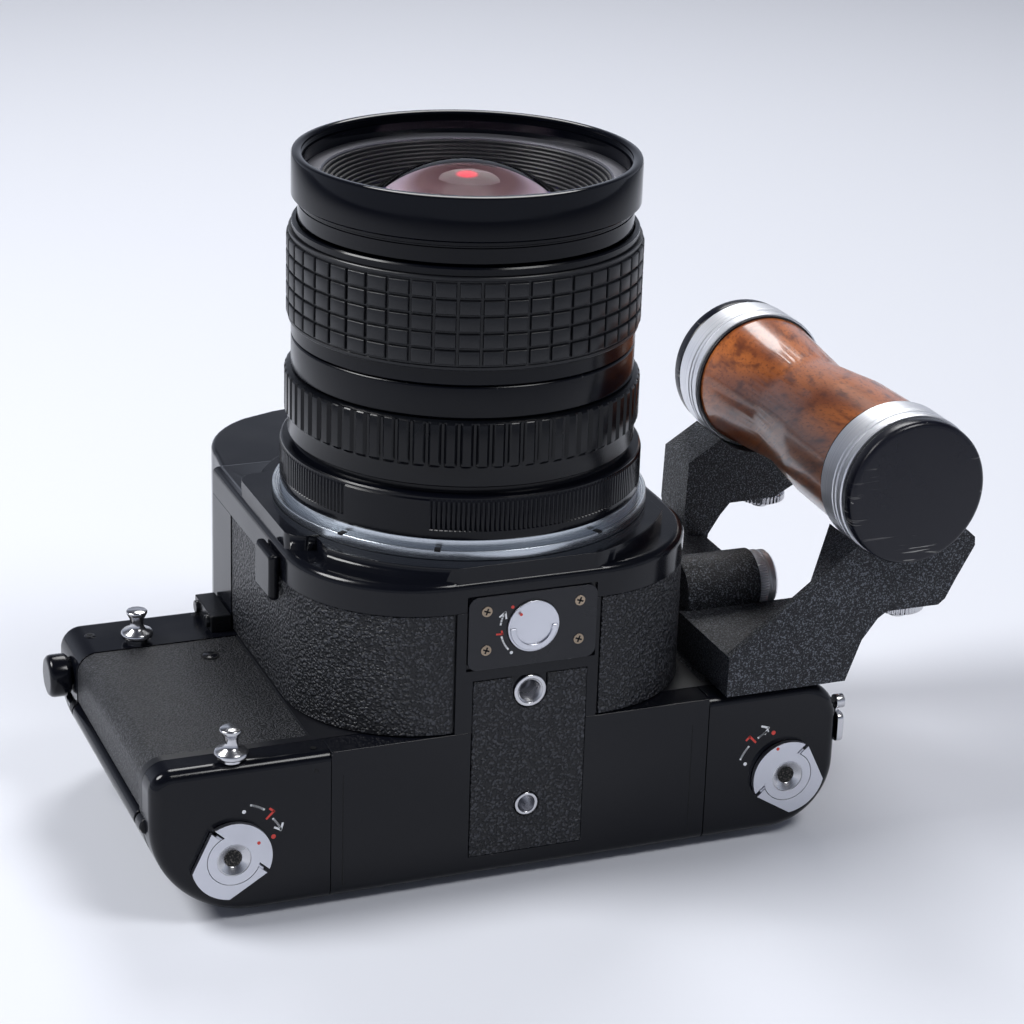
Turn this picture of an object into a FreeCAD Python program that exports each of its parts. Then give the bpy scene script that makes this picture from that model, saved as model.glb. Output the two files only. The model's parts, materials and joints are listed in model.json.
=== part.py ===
import FreeCAD, Part
import math
import os
import Sketcher

# Medium format reflex camera lying on its back, with a lens and a wooden side grip.
# +Z is the lens axis, +Y is the camera's top, +X is the grip side.
# The origin lies on the lens axis, in the plane that the camera rests on.

DIMENSIONS = {
    # film body
    "body_left": 94.8, "body_right": 87.0, "body_front": 42.0, "body_back": 2.0,
    "body_bottom": 50.1, "body_top": 43.5, "seam_half": 50.0,
    "corner_front_left": 5.5, "corner_front_right": 10.5,
    "corner_back_left": 26.0, "corner_back_right": 17.5,
    "cover_wall": 1.2, "cover_joint": 42.0, "cover_edge": 3.0, "top_edge": 2.4,
    "band_edge": 39.4, "top_skirt": 24.0, "door_top": 38.0, "skirt_split": 28.3,
    "door_wall": 1.2, "shell_gap": 0.3, "skin_seat": 0.8, "skin_face": 0.2,
    "joint_gap": 0.15, "run_gap": 0.05, "finder_seat": 45.0,
    # film chamber, gate and shutter
    "film_plane": 5.05, "gate_width": 70.0, "gate_height": 56.0, "gate_plate": 1.55,
    "chamber_half": 33.0, "slot_right": 19.0,
    "shutter_half_x": 48.0, "shutter_half_y": 31.0, "shutter_front": 20.0,
    "drum_place": 43.2, "drum_level": 13.5, "drum_radius": 4.0, "drum_pin": 1.0,
    "drum_pin_length": 2.0, "curtain_thick": 0.4, "mirror_space": 38.5,
    "mirror_floor": 32.0, "mirror_roof": 39.0, "mirror_back": 8.8,
    # film spools and their keys
    "key_left_in": 19.9, "key_right_in": 14.5, "key_level": 17.8, "key_shaft": 3.0,
    "key_shaft_end": 28.0, "spool_radius": 12.4, "spool_half": 32.3,
    "spool_flange": 1.2, "spool_core": 5.5, "key_radius": 9.6, "key_thick": 1.4,
    "key_hub": 6.4, "key_hub_end": 43.0, "key_stub": 4.2, "key_socket": 2.2,
    "key_socket_depth": 1.0, "key_inner": 6.6, "key_fold": 2.2, "key_side": 9.3,
    "key_end_u": 6.2, "key_end_v": 8.6, "key_end": 10.6, "key_pivot": 0.45,
    "key_pivot_start": 5.3, "key_pivot_end": 7.8, "key_split": 0.9,
    # back door
    "hinge_in": 0.8, "hinge_level": 26.0, "barrel_radius": 2.2, "barrel_end": 23.7,
    "pin_radius": 1.2, "pin_head": 2.1, "pin_start": 43.9, "knuckle_end": 27.0,
    "door_bottom": 39.1, "back_leather_half": 46.8, "back_leather_low": 34.0,
    "back_leather_high": 33.0, "leather_thick": 1.0, "door_recess": 1.0,
    "plate_half_x": 39.0, "plate_half_y": 31.0, "plate_thick": 1.2, "plate_gap": 0.25,
    "plate_recess": 1.8, "spring_place": 16.0, "spring_width": 4.0, "spring_half": 22.0,
    "spring_thick": 0.7, "latch_thick": 1.7, "latch_low": 49.5, "latch_high": 27.5,
    "latch_back": 24.0, "latch_front": 32.0, "latch_knob": 1.9, "latch_knob_z": 34.6,
    "latch_knob_y": 46.5, "latch_knob_length": 2.4,
    # mirror box, front frame and mount
    "box_margin": 4.7, "box_flat": 19.3, "box_depth": 32.0, "strip_edge": 28.3,
    "frame_depth": 8.0, "frame_edge": 2.2, "frame_wall": 2.0,
    "boss_over": 0.1, "boss_side_in": 7.9, "boss_low": 49.4, "boss_rise": 3.5,
    "throat_over": 0.5, "ring_radius": 47.6, "ring_rim": 2.3, "ring_lip": 2.0,
    "mount_rise": 4.5, "ring_wide": 10.1, "lobe_in": 1.0, "lobe_wide": 9.3,
    "lobe_low": 19.5, "lobe_high": 26.0, "lobe_corner": 5.0, "lobe_rise": 0.4,
    "side_pocket_in": 3.3, "side_pocket_wide": 7.0, "side_pocket_low": 14.0,
    "side_pocket_high": 36.0, "pocket_depth": 3.0, "low_pocket_half": 28.0,
    "low_pocket_low": 47.0, "low_pocket_high": 35.0,
    "screen_thick": 1.6, "screen_half": 35.5, "screen_seat": 41.0, "screen_back": 17.5,
    "screen_in": 1.0, "screen_edge": 1.2, "mirror_hinge_up": 35.5,
    "mirror_hinge_in": 11.0, "mirror_length": 68.0, "mirror_half": 36.5,
    "mirror_face": 1.2, "mirror_rear": 1.8, "mirror_rod": 1.2, "mirror_rod_half": 40.2,
    # spine on the bottom
    "centre_offset": 0.87, "spine_half": 18.6, "tripod_above": 0.975,
    "tripod_bush": 4.2, "tripod_thread": 3.175, "tripod_depth": 8.0,
    "tripod_boss": 6.5, "bush_rise": 0.3, "bush_end": 40.0, "register_level": 20.4,
    "register_bush": 3.05, "register_hole": 2.2, "register_depth": 4.5,
    "register_end": 45.0, "rib_half": 8.0, "rib_back": 12.0,
    "spine_leather_half": 14.9, "spine_leather_back": 7.8, "spine_leather_in": 3.15,
    "spine_leather_depth": 0.5, "battery_half": 16.7, "battery_under": 10.25,
    "battery_over": 8.9, "battery_rise": 0.5, "battery_depth": 0.75,
    "battery_corner": 2.5, "battery_in": 5.1, "battery_wall": 1.6,
    "cap_radius": 6.7, "cap_rise": 1.1, "cap_end": 48.7, "cap_ring": 0.5, "cap_ring_out": 6.2,
    "cap_ring_in": 4.7,
    "cell_radius": 6.5, "cell_length": 25.0, "battery_screw_x": 12.1,
    "battery_screw_z": 5.1, "screw_head": 1.35, "screw_rise": 0.2, "screw_shank": 0.8,
    "screw_end": 47.4,
    # strap lugs
    "lug_low": 46.7, "lug_high": 28.3, "lug_low_right": 45.6, "lug_high_left_in": 17.2,
    "lug_low_left_in": 20.7,
    "lug_high_right_in": 11.4, "lug_low_right_in": 14.9, "lug_length": 8.4,
    "lug_stud": 1.9, "lug_stud_end": 39.2,
    "lug_base": 2.7, "lug_base_height": 0.8, "lug_collar": 4.3, "lug_neck": 2.0,
    "lug_head": 2.8, "lug_collar_edge": 0.5, "lug_head_edge": 0.7,
    # finder
    "finder_back": 0.6, "finder_ahead": 4.0, "finder_wall": 2.5, "finder_base_in": 1.5,
    "finder_side": 46.5, "finder_side_up": 63.0, "finder_round": 30.0,
    "finder_top_half": 31.0, "finder_top_side": 89.0, "finder_ridge": 22.0,
    "finder_ridge_up": 92.5, "finder_top": 97.5, "eyepiece_up": 66.0,
    "eyepiece_radius": 14.0, "eyepiece_bore": 10.5, "eyepiece_start": 0.2,
    "eyepiece_end": 8.6, "eye_glass_back": 2.6, "eye_glass_front": 6.4,
    "eye_glass_edge": 3.8, "prism_half": 38.0, "prism_side": 60.0, "prism_roof": 20.0,
    "prism_top": 84.0, "prism_back": 14.0, "prism_in": 3.5,
    # top controls
    "lever_hub": 11.0, "lever_thick": 3.4, "lever_gap": 0.9, "lever_root": 8.5,
    "lever_tip": 4.0, "lever_shaft_end": 28.0, "release_off": 0.95, "release_z": 33.0,
    "release_ring": 6.8, "release_bore": 4.5, "release_button": 4.2,
    "release_ring_height": 2.7, "release_head": 1.5, "release_stem": 2.0,
    "release_stem_end": 41.2, "release_tab": 9.6, "release_tab_half": 1.4,
    "dial_in": 17.0, "dial_z": 22.0, "dial_radius": 12.0, "dial_height": 6.2,
    "dial_shaft": 2.5, "dial_shaft_end": 39.0, "selector_y": 31.5, "selector_z": 33.4,
    "selector_radius": 5.6, "selector_height": 5.9, "selector_shaft": 1.5,
    "selector_in": 6.8, "sync_wide": 5.4, "sync_low": 27.0, "sync_high": 43.0,
    "sync_front": 4.5, "sync_socket": 1.7, "sync_rise": 0.9, "sync_place": 5.0,
    "tab_thick": 2.7, "tab_low": 16.0, "tab_high": 3.0, "tab_half": 6.0,
    "tab_round": 1.2,
    # lens: its levels are heights above the flange that it stands on
    "lens_base_in": 1.85, "lens_tube_in": 5.8, "lens_base_front": 11.0,
    "lens_neck_front": 12.6, "lens_tube_front": 62.0, "lens_floor": 2.0,
    "band_back": 29.9, "band_front": 38.0, "bayonet_play": 0.3, "bayonet_wall": 4.2,
    "bayonet_depth": 6.0, "aperture_back": 12.9, "aperture_step": 17.9,
    "aperture_front": 29.6, "focus_back": 38.3, "focus_front": 67.25,
    "rubber_back": 42.3, "rubber_front": 65.2, "front_tube_back": 22.0,
    "collar_back": 67.55, "rim_back": 73.3, "rim_front": 84.3, "name_seat": 78.0,
    "thread_back": 81.9, "name_thick": 0.8, "cell_back": 4.0, "cell_shoulder": 16.0,
    "cell_front": 68.5, "web_back": 57.0, "web_front": 60.0, "cone_low": 68.9,
    "front_glass": 26.0, "front_glass_back": 64.0, "front_glass_edge": 70.3,
    "front_glass_sag": 11.4, "cell_wall": 1.95, "cone_gap": 0.6, "iris_level": 40.0,
    "iris_thick": 0.6, "iris_hole": 10.0, "rear_glass": 21.0, "rear_glass_back": 5.0,
    "rear_glass_front": 15.0,
    # lens: how far each ring stands out beyond the tube, or in from it
    "lens_neck": 1.0, "lens_band": 1.2, "aperture_band": 2.0, "aperture_radius": 2.84,
    "focus_seat": 0.9, "focus_rim": 1.2, "rubber_radius": 2.42, "front_tube": -2.3,
    "front_tube_bore": -4.0, "collar_radius": -0.3, "rim_radius": 1.34,
    "filter_radius": -1.2, "name_radius": -1.7, "name_inner": -6.2,
    # side grip: its levels are heights above the front of the film body
    "arm_near": 51.0, "arm_width": 16.0, "arm_far": 30.5, "handle_out": 14.0,
    "arm_plate": 2.0, "gusset": 11.9,
    "handle_z": 51.8, "handle_ring": 19.3, "handle_seat_gap": 0.1,
    "handle_ring_width": 11.0, "cap_thick": 5.0, "cap_round": 1.6,
    "handle_end": 18.3, "handle_waist": 15.3, "handle_waist_y": 6.0, "tenon": 9.0,
    "base_gap": 1.9, "base_out": 0.5, "base_lift": 0.3, "base_top": 11.2,
    "base_far": 20.0, "rail_in": 6.8, "rail_top": 9.8, "lug_pocket": 4.6,
    "lug_pocket_end": 9.0, "knob_boss_y": 13.0, "knob_boss_z": 14.5,
    "knob_boss": 8.5, "knob_boss_in": 10.5, "knob_radius": 7.8, "knob_lift": 0.6,
    "knob_thick": 4.9, "knob_shaft": 2.4, "knob_shaft_in": 3.8, "knob_room": 0.5,
    "wheel_out": 4.0, "wheel_radius": 6.8, "wheel_thick": 2.4, "wheel_gap": 0.2,
    "wheel_shaft": 1.5, "wheel_shaft_end": 36.0, "wheel_head": 2.6,
    "wheel_head_length": 2.2, "arm_floor": 18.3, "knob_boss_inset": 2.0,
    "swell_near": 17.7, "swell_near_y": 15.75, "swell_far": 16.8, "swell_far_y": 21.3,
    # outline of the arms: x from the base's edge or the handle's axis, z from the arms' floor
    "foot_x": 4.0, "heel_x": 8.2, "heel_z": 1.6, "sole_x": 10.7, "toe_x": 11.4,
    "toe_round_x": 13.3, "toe_round_z": 1.5, "side_x": 15.7, "side_z": 6.3,
    "tip_x": 20.7, "tip_z": 15.4, "tip_end_x": 20.5, "tip_end_z": 17.7,
    "crown_x": 18.2, "crown_z": 19.8, "seat_out": 15.0, "seat_out_z": 21.9,
    "seat_in": 13.0, "seat_in_z": 19.3, "far_edge": 3.0, "far_foot_x": 1.4,
    "far_heel_x": 1.9, "far_heel_z": 3.3, "far_sole_x": 4.7, "far_toe_x": 4.5,
    "far_toe_z": 0.3, "far_side_x": 12.1, "far_side_z": 4.5, "far_tip_x": 18.5,
    "far_tip_z": 15.0, "far_tip_end_z": 19.4, "far_inner_x": 8.5, "far_inner_z": 13.2,
    "far_waist_x": 9.0, "far_waist_z": 2.3, "far_root_x": 7.5,
}

KEY_FOLD_TURN = 42.0
LEVER_REST = 15.0
MIRROR_REST = 45.0
BAFFLE_STEPS = 9
FACE_TOLERANCE = 0.01
# how far a cutting tool runs past the face that it opens, or a joined piece into its neighbour
PAST = 1.0

doc = FreeCAD.newDocument("reflex_camera")
sheet = doc.addObject("Spreadsheet::Sheet", "sizes")


class Size:
    """A number together with the spreadsheet formula that gives it."""

    def __init__(self, value, formula):
        self.value = value
        self.formula = formula

    def join(self, other, sign, value):
        return Size(value, f"({self.formula} {sign} {formula_of(other)})")

    def __add__(self, other):
        return self.join(other, "+", self.value + value_of(other))

    def __sub__(self, other):
        return self.join(other, "-", self.value - value_of(other))

    def __mul__(self, other):
        return self.join(other, "*", self.value * value_of(other))

    def __truediv__(self, other):
        return self.join(other, "/", self.value / value_of(other))

    def __radd__(self, other):
        return as_size(other) + self

    def __rsub__(self, other):
        return as_size(other) - self

    def __rmul__(self, other):
        return as_size(other) * self

    def __neg__(self):
        return Size(-self.value, f"(-1 * {self.formula})")


def value_of(item):
    return item.value if isinstance(item, Size) else float(item)


def formula_of(item):
    return item.formula if isinstance(item, Size) else f"({float(item):.6f})"


def as_size(item):
    return item if isinstance(item, Size) else Size(float(item), formula_of(item))


class Named:
    """The driving dimensions, one attribute for each row of the sheet."""


s = Named()
for row, (alias, amount) in enumerate(DIMENSIONS.items(), start=1):
    sheet.set(f"A{row}", alias.replace("_", " "))
    sheet.set(f"B{row}", str(amount))
    sheet.setAlias(f"B{row}", alias)
    setattr(s, alias, Size(float(amount), f"sizes.{alias}"))
doc.recompute()

# Places that follow a neighbour, across the camera
s.key_left = s.body_left - s.key_left_in
s.key_right = s.body_right - s.key_right_in
s.hinge_out = s.body_left - s.hinge_in
s.lever_reach = s.key_left - s.seam_half - s.lever_gap
s.release_x = (s.key_left + s.seam_half) / 2 - s.release_off
s.dial_x = s.body_right - s.dial_in
s.finder_base = s.seam_half - s.finder_base_in
s.selector_end = s.body_left - s.selector_in
s.box_half = s.ring_radius + s.box_margin
s.box_corner = s.box_half - s.box_flat
s.boss_radius = s.box_half + s.boss_over
s.boss_half = s.box_half - s.boss_side_in
s.ring_step = s.ring_radius - s.ring_rim
s.lobe_left = s.box_half - s.lobe_in
s.lobe_right = s.lobe_left - s.lobe_wide
s.side_pocket_out = s.box_half - s.side_pocket_in
s.side_pocket_start = s.side_pocket_out - s.side_pocket_wide
s.sync_left = s.box_half + s.shell_gap + s.sync_wide
s.ring_bore = s.ring_radius - s.ring_wide
s.throat = s.ring_bore + s.throat_over
s.bayonet_radius = s.ring_bore - s.bayonet_play
s.bayonet_bore = s.bayonet_radius - s.bayonet_wall
s.lens_base = s.ring_radius - s.lens_base_in
s.lens_tube = s.ring_radius - s.lens_tube_in
s.cell_bore = s.front_glass + s.run_gap
s.cell_tube = s.cell_bore + s.cell_wall
s.cell_rear_bore = s.rear_glass + s.run_gap
s.cone_inner = s.front_glass + s.cone_gap
for alias in (
        "lens_neck", "lens_band", "aperture_band", "aperture_radius", "focus_seat",
        "focus_rim", "rubber_radius", "front_tube", "front_tube_bore", "collar_radius",
        "rim_radius", "filter_radius", "name_radius", "name_inner"):
    setattr(s, alias, s.lens_tube + getattr(s, alias))
s.base_left = s.box_half + s.base_gap
s.base_right = s.body_right + s.base_out
s.rail_left = s.base_left + s.rail_in
s.handle_x = s.base_right + s.handle_out
s.wheel_x = s.handle_x + s.wheel_out
s.knob_boss_right = s.base_right - s.knob_boss_in
s.knob_back = s.knob_boss_right + s.knob_lift
s.knob_front = s.knob_back + s.knob_thick
s.knob_shaft_end = s.base_left + s.knob_shaft_in

# Levels that follow a neighbour, along the lens axis
s.box_front = s.body_front + s.box_depth
for alias in (
        "sync_front", "handle_z", "base_top", "rail_top", "lug_pocket_end", "knob_boss_z",
        "wheel_shaft_end", "arm_floor"):
    setattr(s, alias, s.body_front + getattr(s, alias))
s.frame_front = s.box_front + s.frame_depth
s.frame_space = s.frame_front - s.frame_wall
s.boss_front = s.frame_front + s.boss_rise
s.lobe_front = s.boss_front + s.lobe_rise
s.flange = s.boss_front + s.mount_rise
s.ring_low = s.flange - s.ring_lip
s.bayonet_back = s.flange - s.bayonet_depth
s.pocket_front = s.box_front - s.pocket_depth
s.screen_front = s.box_front - s.screen_in
s.finder_front = s.box_front + s.finder_ahead
s.prism_front = s.finder_front - s.prism_in
s.tab_back = s.box_front - s.tab_half
s.tab_front = s.box_front + s.tab_half
s.battery_level = s.box_front - s.battery_in
s.battery_back = s.battery_level - s.battery_under
s.battery_front = s.battery_level + s.battery_over
s.spine_leather_front = s.battery_back - s.spine_leather_in
s.tripod_level = (s.battery_back + s.body_front) / 2 + s.tripod_above
for alias in (
        "lens_base_front", "lens_neck_front", "lens_tube_front", "lens_floor", "band_back",
        "band_front", "aperture_back", "aperture_step", "aperture_front", "focus_back",
        "focus_front", "rubber_back", "rubber_front", "front_tube_back", "collar_back",
        "rim_back", "rim_front", "name_seat", "thread_back", "cell_back", "cell_shoulder",
        "cell_front", "web_back", "web_front", "front_glass_back", "front_glass_edge",
        "cone_low", "iris_level", "rear_glass_back", "rear_glass_front"):
    setattr(s, alias, s.flange + getattr(s, alias))

TURNS = {
    "x": FreeCAD.Rotation(FreeCAD.Vector(0, 1, 0), 90),
    "y": FreeCAD.Rotation(FreeCAD.Vector(1, 0, 0), -90),
    "z": FreeCAD.Rotation(),
}


def bind(thing, name, amount):
    """Give a property its value, and its formula where it comes from the sheet."""
    setattr(thing, name, value_of(amount))
    if isinstance(amount, Size):
        thing.setExpression(name, amount.formula)


def place(thing, at, turn=None):
    base = FreeCAD.Vector(*[value_of(part) for part in at])
    thing.Placement = FreeCAD.Placement(base, turn or FreeCAD.Rotation())
    for letter, part in zip("xyz", at):
        if isinstance(part, Size):
            thing.setExpression(f"Placement.Base.{letter}", part.formula)
    return thing


def box(xs, ys, zs):
    """A block between two corners, given as (low, high) along each axis."""
    block = doc.addObject("Part::Box", "block")
    for name, (low, high) in zip(("Length", "Width", "Height"), (xs, ys, zs)):
        bind(block, name, as_size(high) - low)
    return place(block, (xs[0], ys[0], zs[0]))


def rod(axis, radius, at, length):
    """A cylinder that starts at a point and runs along +axis."""
    bar = doc.addObject("Part::Cylinder", "bar")
    bind(bar, "Radius", radius)
    bind(bar, "Height", length)
    return place(bar, at, TURNS[axis])


def cut(base, *tools):
    result = doc.addObject("Part::Cut", "cut")
    result.Base = base
    result.Tool = tools[0] if len(tools) == 1 else join(*tools)
    return result


def join(*pieces):
    result = doc.addObject("Part::MultiFuse", "join")
    result.Shapes = list(pieces)
    return result


def overlap(*pieces):
    result = doc.addObject("Part::MultiCommon", "overlap")
    result.Shapes = list(pieces)
    return result


def group(*pieces):
    result = doc.addObject("Part::Compound", "group")
    result.Links = list(pieces)
    return result


def tube(axis, outer, inner, at, length):
    return cut(rod(axis, outer, at, length), rod(axis, inner, at, length))


def vector(u, v):
    return FreeCAD.Vector(u, v, 0)


def arc_between(start, end, radius):
    """The short arc from start to end; a negative radius puts its centre on the right."""
    chord = end - start
    half = chord.Length / 2
    rise = math.sqrt(max(radius * radius - half * half, 0))
    side = vector(-chord.y, chord.x).normalize() * (rise if radius > 0 else -rise)
    centre = (start + end) / 2 + side
    first, last = (start, end) if radius > 0 else (end, start)
    angles = [math.atan2(p.y - centre.y, p.x - centre.x) for p in (first, last)]
    circle = Part.Circle(centre, FreeCAD.Vector(0, 0, 1), abs(radius))
    return Part.ArcOfCircle(circle, angles[0], angles[1])


def pin_point(sketch, index, position, corner):
    """Hold one end of an edge at a place that the sheet gives."""
    for kind, amount in zip(("DistanceX", "DistanceY"), corner):
        number = sketch.addConstraint(
            Sketcher.Constraint(kind, -1, 1, index, position, value_of(amount)))
        if isinstance(amount, Size):
            sketch.setExpression(f"Constraints[{number}]", amount.formula)


def draw(sketch, corners):
    """A closed outline; a third item in a corner is the radius of the arc that leaves it."""
    points = [vector(value_of(c[0]), value_of(c[1])) for c in corners]
    first = sketch.GeometryCount
    starts = []
    for place_in_loop, corner in enumerate(corners):
        start = points[place_in_loop]
        end = points[(place_in_loop + 1) % len(points)]
        radius = value_of(corner[2]) if len(corner) > 2 else 0.0
        if radius:
            index = sketch.addGeometry(arc_between(start, end, radius), False)
            number = sketch.addConstraint(
                Sketcher.Constraint("Radius", index, abs(radius)))
            if isinstance(corner[2], Size):
                shown = corner[2] if radius > 0 else -corner[2]
                sketch.setExpression(f"Constraints[{number}]", shown.formula)
        else:
            index = sketch.addGeometry(Part.LineSegment(start, end), False)
        starts.append((1, 2) if radius >= 0 else (2, 1))
    count = len(corners)
    for offset, corner in enumerate(corners):
        index = first + offset
        following = first + (offset + 1) % count
        sketch.addConstraint(Sketcher.Constraint(
            "Coincident", index, starts[offset][1], following,
            starts[(offset + 1) % count][0]))
        pin_point(sketch, index, starts[offset][0], corner)


PLANES = {"xy": "XY_Plane", "xz": "XZ_Plane", "yz": "YZ_Plane"}


def sketch_on(body, plane, level, *loops):
    sketch = body.newObject("Sketcher::SketchObject", "outline")
    face = [item for item in body.Origin.OriginFeatures if item.Role == PLANES[plane]][0]
    sketch.AttachmentSupport = [(face, "")]
    sketch.MapMode = "FlatFace"
    sketch.AttachmentOffset = FreeCAD.Placement(
        FreeCAD.Vector(0, 0, value_of(level)), FreeCAD.Rotation())
    if isinstance(level, Size):
        sketch.setExpression("AttachmentOffset.Base.z", level.formula)
    for loop in loops:
        draw(sketch, loop)
    return sketch


def slab(plane, low, high, *loops):
    """An outline drawn on xy, xz or yz and padded between two levels of the third axis."""
    body = doc.addObject("PartDesign::Body", "slab")
    level = -as_size(high) if plane == "xz" else low
    pad = body.newObject("PartDesign::Pad", "pad")
    pad.Profile = sketch_on(body, plane, level, *loops)
    bind(pad, "Length", as_size(high) - low)
    body.Tip = pad
    return body


def turned(axis, corners, at=(0, 0, 0)):
    """A turned piece; its corners are (radius, place along the axis)."""
    body = doc.addObject("PartDesign::Body", "turned")
    plane = "xy" if axis == "y" else "xz"
    loop = [tuple([c[1], c[0]] + list(c[2:])) for c in corners] if axis == "x" else corners
    sketch = sketch_on(body, plane, 0, loop)
    turn = body.newObject("PartDesign::Revolution", "turn")
    turn.Profile = sketch
    turn.ReferenceAxis = (sketch, ["H_Axis" if axis == "x" else "V_Axis"])
    turn.Angle = 360
    body.Tip = turn
    place(body, at)
    return body


def soften(body, radius, wanted):
    """Round the edges of a body's last feature that the test picks."""
    doc.recompute()
    base = body.Tip
    names = [f"Edge{number}" for number, edge in enumerate(base.Shape.Edges, start=1)
             if wanted(edge)]
    if not names:
        raise RuntimeError(f"no edge to round on {body.Label}")
    rounding = body.newObject("PartDesign::Fillet", "rounding")
    rounding.Base = (base, names)
    bind(rounding, "Radius", radius)
    body.Tip = rounding
    return body


def lies_at(axis, level):
    """A test for edges that lie in one plane across an axis."""
    def test(edge):
        limits = edge.BoundBox
        low = getattr(limits, axis.upper() + "Min")
        high = getattr(limits, axis.upper() + "Max")
        near = value_of(level)
        return abs(low - near) < FACE_TOLERANCE and abs(high - near) < FACE_TOLERANCE
    return test


PARTS = {}


def finish(node, thing):
    """Name a finished sub-part; the label is also the name of its file."""
    thing.Label = node
    PARTS[node] = thing
    return thing


def about_y(degrees):
    return FreeCAD.Rotation(FreeCAD.Vector(0, 1, 0), degrees)


def span(centre, half):
    """The two ends of a length that is even about its centre."""
    return (as_size(centre) - half, as_size(centre) + half)


# Levels and places that several sub-parts share
left, right = -s.body_left, s.body_right
back, front = s.body_back, s.body_front
bottom, top = -s.body_bottom, s.body_top
door_seat = s.door_wall + s.shell_gap
chamber = s.spool_radius + s.shell_gap
key_places = {"left": -s.key_left, "right": s.key_right}
key_face = bottom - s.shell_gap
lug_places = [
    (left + s.lug_high_left_in, s.lug_high), (left + s.lug_low_left_in, -s.lug_low),
    (right - s.lug_high_right_in, s.lug_high), (right - s.lug_low_right_in, -s.lug_low_right)]
battery_screws = [(s.centre_offset + s.battery_screw_x * u, s.battery_level + s.battery_screw_z * v)
                  for u in (-1, 1) for v in (-1, 1)]
far_arm_end = s.arm_far + s.arm_width
near_arm_end = -s.arm_near + s.arm_width
wheel_places = {"near": -s.arm_near + s.arm_width / 2, "far": s.arm_far + s.arm_width / 2}


def whole_outline(inset):
    """Plan of the film body, x against z, a set distance inside its outer skin."""
    return [
        (left + s.corner_back_left, back + inset),
        (right - s.corner_back_right, back + inset, s.corner_back_right - inset),
        (right - inset, back + s.corner_back_right),
        (right - inset, front - s.corner_front_right, s.corner_front_right - inset),
        (right - s.corner_front_right, front - inset),
        (left + s.corner_front_left, front - inset, s.corner_front_left - inset),
        (left + inset, front - s.corner_front_left),
        (left + inset, back + s.corner_back_left, s.corner_back_left - inset)]


def left_outline(inset, seam):
    return [
        (seam, back + inset), (seam, front - inset),
        (left + s.corner_front_left, front - inset, s.corner_front_left - inset),
        (left + inset, front - s.corner_front_left),
        (left + inset, back + s.corner_back_left, s.corner_back_left - inset),
        (left + s.corner_back_left, back + inset)]


def right_outline(inset, seam):
    return [
        (seam, front - inset), (seam, back + inset),
        (right - s.corner_back_right, back + inset, s.corner_back_right - inset),
        (right - inset, back + s.corner_back_right),
        (right - inset, front - s.corner_front_right, s.corner_front_right - inset),
        (right - s.corner_front_right, front - inset)]


def casting_outline():
    """The casting steps in where the door wraps it and out where leather covers it."""
    skin = s.skin_seat
    right_step = back + s.corner_back_right
    left_step = back + s.corner_back_left
    return [
        (left + s.corner_back_left, back + door_seat),
        (right - s.corner_back_right, back + door_seat, s.corner_back_right - door_seat),
        (right - door_seat, right_step), (right - door_seat, right_step + s.shell_gap),
        (right - skin, right_step + s.shell_gap),
        (right - skin, front - s.corner_front_right, s.corner_front_right - skin),
        (right - s.corner_front_right, front - skin),
        (left + s.corner_front_left, front - skin, s.corner_front_left - skin),
        (left + skin, front - s.corner_front_left), (left + skin, left_step + s.shell_gap),
        (left + door_seat, left_step + s.shell_gap),
        (left + door_seat, left_step, s.corner_back_left - door_seat)]


def hinge_bar(radius, low, high):
    return rod("y", radius, (-s.hinge_out, low, s.hinge_level), as_size(high) - low)


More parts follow.
